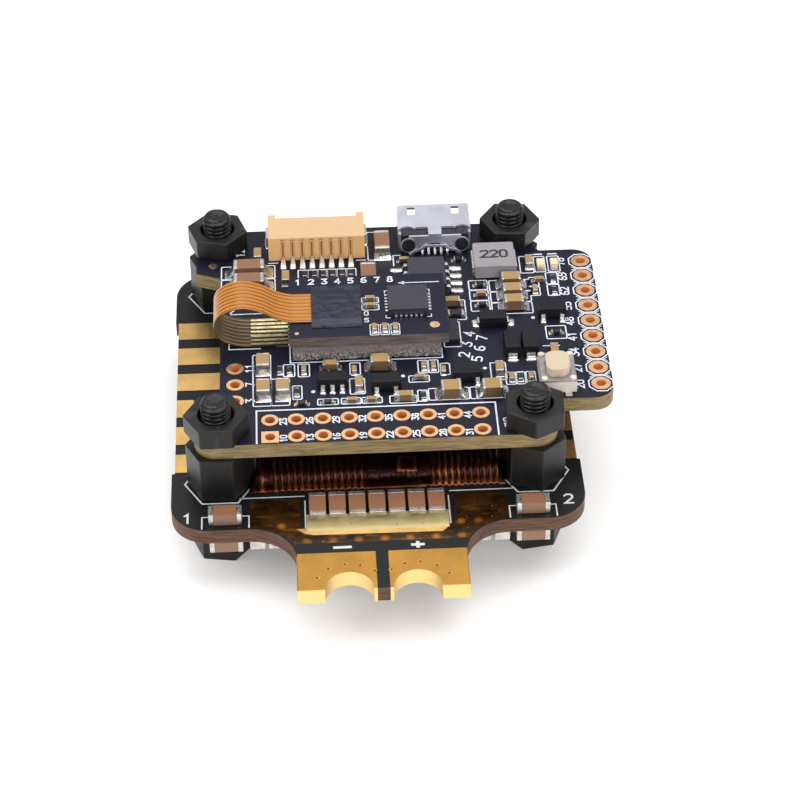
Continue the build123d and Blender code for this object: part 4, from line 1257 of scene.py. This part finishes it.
CABLE_PATH = [(-0.9, 2.92), (-4.4, 2.93), (-6.9, 2.94), (-7.9, 3.0), (-9.3, 3.45), (-10.8, 4.35),
              (-12.6, 4.85), (-14.3, 4.4), (-15.25, 3.5), (-15.4, 2.3), (-14.8, 1.05), (-13.4, 0.35),
              (-11.9, 0.16), (-9.9, 0.15), (-8.2, 0.15)]
CABLE_Y, CABLE_W, CABLE_T = -0.15, 4.6, 0.12
CABLE_RIDGES, FINGERS = 8, 7
FINGER_X0 = -11.9


def smooth_path(points, per_span):
    """Smooth curve through points, with its left-hand direction at each step."""
    spots = [Vector(p) for p in points]
    path = []
    for i in range(len(spots) - 1):
        a, b = spots[max(i - 1, 0)], spots[i]
        c, d = spots[i + 1], spots[min(i + 2, len(spots) - 1)]
        for k in range(per_span):
            t = k / per_span
            path.append(0.5 * (2 * b + (c - a) * t + (2 * a - 5 * b + 4 * c - d) * t * t
                               + (3 * b - a - 3 * c + d) * t ** 3))
    path.append(spots[-1])
    found = []
    for i, spot in enumerate(path):
        way = (path[min(i + 1, len(path) - 1)] - path[max(i - 1, 0)]).normalized()
        found.append((spot, Vector((-way.y, way.x))))
    return found


def build_cable():
    """Folded flat cable: ridged orange outside, brown inside, bare contacts at its lower end."""
    shell = Shell()
    across = 80
    path = smooth_path(CABLE_PATH, 7)
    ring_size = 2 * (across + 1)
    points, kinds, faces = [], [], []
    for spot, side in path:
        for face in (1, -1):
            for j in range(across + 1):
                v = j / across if face > 0 else 1 - j / across
                wire = abs(math.sin(math.pi * CABLE_RIDGES * v)) ** 0.6
                edge = 0.35 + 0.65 * wire if face > 0 else 0.4 + 0.4 * wire
                reach = -face * (CABLE_T / 2) * (0.5 + edge)
                points.append((spot.x + side.x * reach, CABLE_Y + CABLE_W * (v - 0.5),
                               FC_TOP + spot.y + side.y * reach))
    rows = len(path)
    for i in range(rows - 1):
        for j in range(ring_size):
            k = (j + 1) % ring_size
            faces.append((i * ring_size + j, i * ring_size + k, (i + 1) * ring_size + k,
                          (i + 1) * ring_size + j))
            kinds.append(cable_kind(path[i][0], j, across))
    faces.append(tuple(range(ring_size)))
    faces.append(tuple(reversed([(rows - 1) * ring_size + j for j in range(ring_size)])))
    kinds += [0, 0]
    shell.add(points, faces, kinds)
    piece = shell.make("flat_cable", None, [flex_orange, flex_brown, finger_gold, finger_gap], sharp=70,
                       slot="flex_orange", stands_for="flex_ribbon")
    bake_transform(piece)


def cable_kind(spot, j, across):
    """Material of a cable face: 0 outside, 1 inside, 2 bare contact, 3 gap between contacts."""
    if j <= across:
        return 0
    v = 1 - (j - across - 1 + 0.5) / across
    if spot.y < 0.5 and FINGER_X0 < spot.x:
        finger = (v * FINGERS) % 1
        return 2 if 0.22 < finger < 0.78 else 3
    return 1


def build_cable_solder():
    """Solder over the lands at the lower end of the cable."""
    joints = Shell()
    for lo, hi in solids("ribbon_solder_pads"):
        mound(joints, (lo.x, lo.y - 0.02), (hi.x + 0.35, hi.y + 0.02), lo.z, 0.2)
    joints.make("cable_solder", STACK, [finger_gold], sharp=60, slot="plated_land",
                stands_for="ribbon_solder_pads")


def build_tape():
    """Thin crinkled tape that drapes over the end of the cable."""
    lo, hi = lowest("imu_tape"), highest("imu_tape")
    shell = Shell()
    nx, ny = 60, 80
    rings = []
    for i in range(nx + 1):
        u = i / nx
        top, under = [], []
        for j in range(ny + 1):
            v = j / ny
            x = lo.x + (hi.x - lo.x) * u + 0.05 * noise.noise(Vector((v * 7, u * 3, 1.0)))
            y = lo.y + (hi.y - lo.y) * v + 0.07 * noise.noise(Vector((u * 8, v * 2, 5.0)))
            away = abs(y - CABLE_Y) - CABLE_W / 2
            drape = 1 / (1 + math.exp(9 * (away - 0.12)))
            crease = 0.5 * noise.noise(Vector((x * 0.9 + y * 0.3, y * 0.35, 2.0)))
            crease += 0.35 * noise.noise(Vector((x * 2.2, y * 1.6, 7.0)))
            z = IMU_TOP + 0.06 + TAPE_DRAPE * drape + 0.09 * crease
            z = max(z, IMU_TOP + 0.035 + 0.235 * drape)
            top.append((x, y, z))
            under.append((x, y, z - TAPE_SHEET))
        rings.append(top + list(reversed(under)))
    shell.skin(rings)
    shell.make("sensor_tape", SENSOR, [tape_paint], sharp=70, slot="tape_dark", stands_for="imu_tape")


def build_sensor_print():
    """Numbers, an arrow, part outlines and two bare lands on the sensor board."""
    z = IMU_TOP
    silk = Shell()
    line = 0.11
    numeral(silk, "1 2 3 4 5 6 7 8", -2.4, 4.4, z, 0.78, width=0.15)
    strokes(silk, [[(7.1, 3.7), (3.3, 3.7)], [(-8.0, -2.26), (-5.9, -2.26)]], z, line)
    silk.prism([(3.0, 3.7), (3.65, 3.42), (3.65, 3.98)], z, z + INK)
    stroke(silk, [(-0.95, 0.0), (-0.95, 3.0)], z, 0.08)
    for lo, hi in solids("imu_capacitors"):
        here = middle((lo, hi))
        wide = hi.x - lo.x > hi.y - lo.y
        hx, hy = (0.85, 0.45) if wide else (0.42, 0.85)
        frame_box(silk, here.x - hx, here.y - hy, here.x + hx, here.y + hy, z, 0.08, 0.09)
    lo, hi = solids("imu_sensor")[0]
    for sx in (-1, 1):
        for sy in (-1, 1):
            x = (lo.x + hi.x) / 2 + sx * 2.25
            y = (lo.y + hi.y) / 2 + sy * 2.25
            stroke(silk, [(x - sx * 0.4, y), (x, y), (x, y - sy * 0.4)], z, 0.09)
    numeral(silk, "0", -0.35, -1.2, z, 0.6, width=0.1)
    numeral(silk, "5", -0.35, -2.3, z, 0.6, width=0.1)
    silk.make("sensor_board_print", SENSOR, [silk_white])
    dot = Shell()
    disc(dot, 6.35, -3.4, z, 0.5, 0.02)
    disc(dot, -7.3, -4.1, z, 0.22, 0.02)
    dot.make("sensor_board_lands", SENSOR, [pad_gold], slot="plated_land")


# ---------------------------------------------------------------- flight board print
def build_pad_print(silk):
    """Frames, numerals and octagons round the three groups of plated holes."""
    z = FC_TOP
    stroke(silk, [(-11.45, -17.35), (-11.45, -12.45), (11.65, -12.45), (11.65, -17.35)], z, 0.16)
    pads = [middle(box) for box in solids("header_pads")]
    rows = sorted({round(p.y, 1) for p in pads})
    for row, y in enumerate(rows):
        spots = sorted((p for p in pads if round(p.y, 1) == y), key=lambda p: p.x)
        for n, spot in enumerate(spots[:-1]):
            numeral(silk, str(10 + 13 * row + n * 3), spot.x + 1.27, spot.y - 0.25, z, 0.62, 90, 0.13)
    for n, box in enumerate(solids("left_pads")):
        spot = middle(box)
        numeral(silk, str(3 + 4 * n), spot.x + 1.45, spot.y, z, 0.8, 90, 0.13)
    column = sorted((middle(box) for box in solids("side_pads")), key=lambda p: p.y)
    for n, spot in enumerate(column):
        stroke(silk, circle(spot.x, spot.y, 1.28, 8, 22.5), z, 0.12, closed=True)
        numeral(silk, str(20 + 7 * n), spot.x - 2.1, spot.y, z, 0.82, 90, 0.14)
        if n:
            y = (spot.y + column[n - 1].y) / 2
            for out, inner in ((1.0, 0.62), (-1.0, -0.62)):
                arrow = [(spot.x + out, y - 0.28), (spot.x + inner, y), (spot.x + out, y + 0.28)]
                stroke(silk, arrow, z, 0.08)


FRAMES = [
    # part outlines near the front edge
    (-11.75, -11.75, -10.0, -3.7), (-9.98, -11.75, -8.2, -7.6), (-8.75, -7.3, -7.65, -5.4),
    (-7.3, -7.4, -6.2, -5.4), (-7.9, -10.9, -7.0, -8.8), (-5.5, -11.9, -3.5, -11.0),
    (-3.2, -11.9, -1.3, -11.0), (-1.2, -11.9, 0.75, -11.0), (1.5, -12.05, 4.1, -10.9),
    (4.25, -11.9, 5.15, -10.2), (5.3, -11.8, 9.25, -10.0), (9.35, -11.8, 13.0, -10.0),
    (-2.3, -10.4, -0.85, -8.0), (3.5, -8.9, 5.5, -7.9), (4.5, -7.5, 5.45, -5.5), (5.55, -7.5, 6.5, -5.5),
    (6.7, -7.9, 7.6, -6.1), (13.0, -9.8, 13.95, -7.9), (14.05, -9.8, 14.9, -7.9), (15.0, -9.8, 15.9, -7.9),
    (11.6, -9.0, 13.1, -6.3), (17.6, -2.8, 19.6, -0.7), (-4.3, -7.4, -3.3, -5.5), (-2.2, -7.4, -1.2, -5.5),
    # part outlines right of the sensor board and along the rear edge
    (10.4, 5.8, 12.3, 7.4), (10.4, 4.0, 12.3, 5.7), (10.4, 2.2, 12.3, 3.9), (12.5, 1.6, 16.6, 3.45),
    (12.5, 3.55, 16.6, 5.3), (12.5, 5.4, 16.6, 7.3), (15.9, 8.4, 17.3, 11.3), (18.4, 6.35, 19.6, 8.3),
    (18.4, 4.4, 19.6, 6.25), (16.6, 4.5, 17.6, 6.0), (16.6, 6.1, 17.6, 7.6), (7.9, 0.9, 9.8, 4.2),
    (7.3, -3.5, 9.0, 0.6), (-7.0, 8.8, -6.05, 10.3), (-6.0, 8.8, -5.05, 10.3), (-5.0, 8.8, -4.05, 10.3),
    (-4.0, 8.8, -3.05, 10.3), (-3.0, 8.8, -2.05, 10.3), (-2.0, 8.8, -1.05, 10.3),
    (-14.9, 9.1, -9.4, 11.3), (-14.9, 6.9, -9.4, 9.0), (0.3, 11.6, 2.5, 16.6), (17.4, 8.5, 18.5, 11.2),
    (18.8, 8.5, 20.0, 11.2),
]


def build_flight_print():
    """Part outlines, lines, numbers and one bare land on the flight board."""
    z = FC_TOP
    silk = Shell()
    build_pad_print(silk)
    for x0, y0, x1, y1 in FRAMES:
        frame_box(silk, x0, y0, x1, y1, z, 0.1, 0.12)
    strokes(silk, [
        [(-8.05, -1.6), (-8.05, -5.15), (7.0, -5.15), (7.0, -3.6)],
        [(-14.1, -1.6), (-14.1, -2.65), (-11.0, -2.65)], [(-13.9, 3.1), (-9.5, 3.15)],
        [(-14.0, 3.3), (-13.4, 4.05), (-13.0, 4.1)], [(17.1, -3.9), (18.7, -3.9)],
        [(-10.0, 11.7), (-9.1, 11.7)], [(-0.9, 11.7), (0.0, 11.7)],
        [(2.9, 10.5), (2.9, 12.3), (3.6, 12.3)],
    ], z, 0.13)
    strokes(silk, [[(17.5, 11.6), (18.3, 11.6)], [(19.0, 11.6), (19.8, 11.6)]], z, 0.18)
    for x, y in ((-5.9, -9.8), (2.95, -7.85), (11.05, -7.1), (16.5, 0.8)):
        disc(silk, x, y, z, 0.2)
    numeral(silk, "1 2 3 4", 9.35, -4.0, z, 1.0, 78, 0.16)
    numeral(silk, "5 6 7", 10.75, -3.9, z, 1.0, 78, 0.16)
    numeral(silk, "38", 12.75, -15.5, z, 0.9, 96, 0.14)
    numeral(silk, "12", -13.0, 13.7, z, 0.9, 90, 0.14)
    silk.make("flight_board_print", STACK, [silk_white])
    lands = Shell()
    disc(lands, -15.8, 11.5, z, 0.47, 0.02)
    lands.make("flight_board_lands", STACK, [pad_gold], slot="plated_land")
    mark = Shell()
    lo, hi = solids("inductor_core")[0]
    numeral(mark, "220", (lo.x + hi.x) / 2, (lo.y + hi.y) / 2 + 0.1, hi.z, 1.15, width=0.24)
    mark.make("inductor_mark", STACK, [mark_ink])


# ---------------------------------------------------------------- stage
CAMERA_AT = Vector((-5.727, -210.577, 175.411)) * MM
CAMERA_TURN, CAMERA_DROP, CAMERA_ROLL = math.radians(2.36), math.radians(38.988), math.radians(-0.678)
LENS, SENSOR_WIDTH = 118.92, 36.0
FLOOR_HALF, FLOOR_Z = 900, -0.03


def build_camera():
    """Camera in front of the stack, looking down on it."""
    ahead = Vector((math.sin(CAMERA_TURN), math.cos(CAMERA_TURN), 0))
    forward = ahead * math.cos(CAMERA_DROP) - Vector((0, 0, math.sin(CAMERA_DROP)))
    right = Vector((math.cos(CAMERA_TURN), -math.sin(CAMERA_TURN), 0))
    up = right.cross(forward)
    turned = Matrix((right, up, -forward)).transposed() @ Matrix.Rotation(CAMERA_ROLL, 3, "Z")
    data = bpy.data.cameras.new("camera")
    data.lens = LENS
    data.sensor_width = SENSOR_WIDTH
    data.clip_start, data.clip_end = 0.01, 5
    camera = bpy.data.objects.new("camera", data)
    camera.matrix_world = Matrix.Translation(CAMERA_AT) @ turned.to_4x4()
    bpy.context.scene.collection.objects.link(camera)
    bpy.context.scene.camera = camera


def area_light(name, place, aim, size, power):
    """Rectangular soft light at a place, turned towards aim."""
    data = bpy.data.lights.new(name, "AREA")
    data.shape = "RECTANGLE"
    data.size, data.size_y = size
    data.energy = power
    lamp = bpy.data.objects.new(name, data)
    lamp.location = place
    lamp.rotation_mode = "QUATERNION"
    lamp.rotation_quaternion = (Vector(aim) - Vector(place)).to_track_quat("-Z", "Y")
    bpy.context.scene.collection.objects.link(lamp)


def build_stage():
    """Pale floor, even sky and three soft lights."""
    floor_paint = Paint("studio_floor", (0.90, 0.885, 0.87), 0.7)
    floor_paint.put(glow=0.15)
    floor_paint.feed(floor_paint.shader.inputs["Emission Color"], (1.0, 0.995, 0.985))
    floor = Shell()
    corners = [(-FLOOR_HALF, -FLOOR_HALF), (FLOOR_HALF, -FLOOR_HALF), (FLOOR_HALF, FLOOR_HALF),
               (-FLOOR_HALF, FLOOR_HALF)]
    floor.add(level(corners, FLOOR_Z), [(0, 1, 2, 3)])
    floor.make("floor", None, [floor_paint.made])
    world = bpy.data.worlds.new("studio")
    world.use_nodes = True
    sky = world.node_tree.nodes["Background"]
    sky.inputs["Color"].default_value = (0.97, 0.98, 1.0, 1)
    sky.inputs["Strength"].default_value = 0.42
    bpy.context.scene.world = world
    area_light("overhead", (0.05, 0.10, 0.55), (0, 0, 0.01), (0.75, 0.65), 3.35)
    area_light("left_softbox", (-0.45, -0.15, 0.40), (0, 0, 0.01), (0.4, 0.4), 1.5)
    area_light("front_fill", (0.25, -0.50, 0.30), (0, 0, 0.01), (0.5, 0.3), 2.0)
    settings = bpy.context.scene.view_settings
    settings.view_transform = "Standard"
    settings.look = "None"


# ---------------------------------------------------------------- everything
dress_nodes()
build_posts()
build_chips()
build_lead_solder()
build_plug_details()
build_dome()
build_usb_details()
build_motor_planes()
build_bank_solder()
build_tab_details()
build_motor_print()
build_film()
build_foam()
build_cable()
build_cable_solder()
build_tape()
build_sensor_print()
build_flight_print()
build_camera()
build_stage()
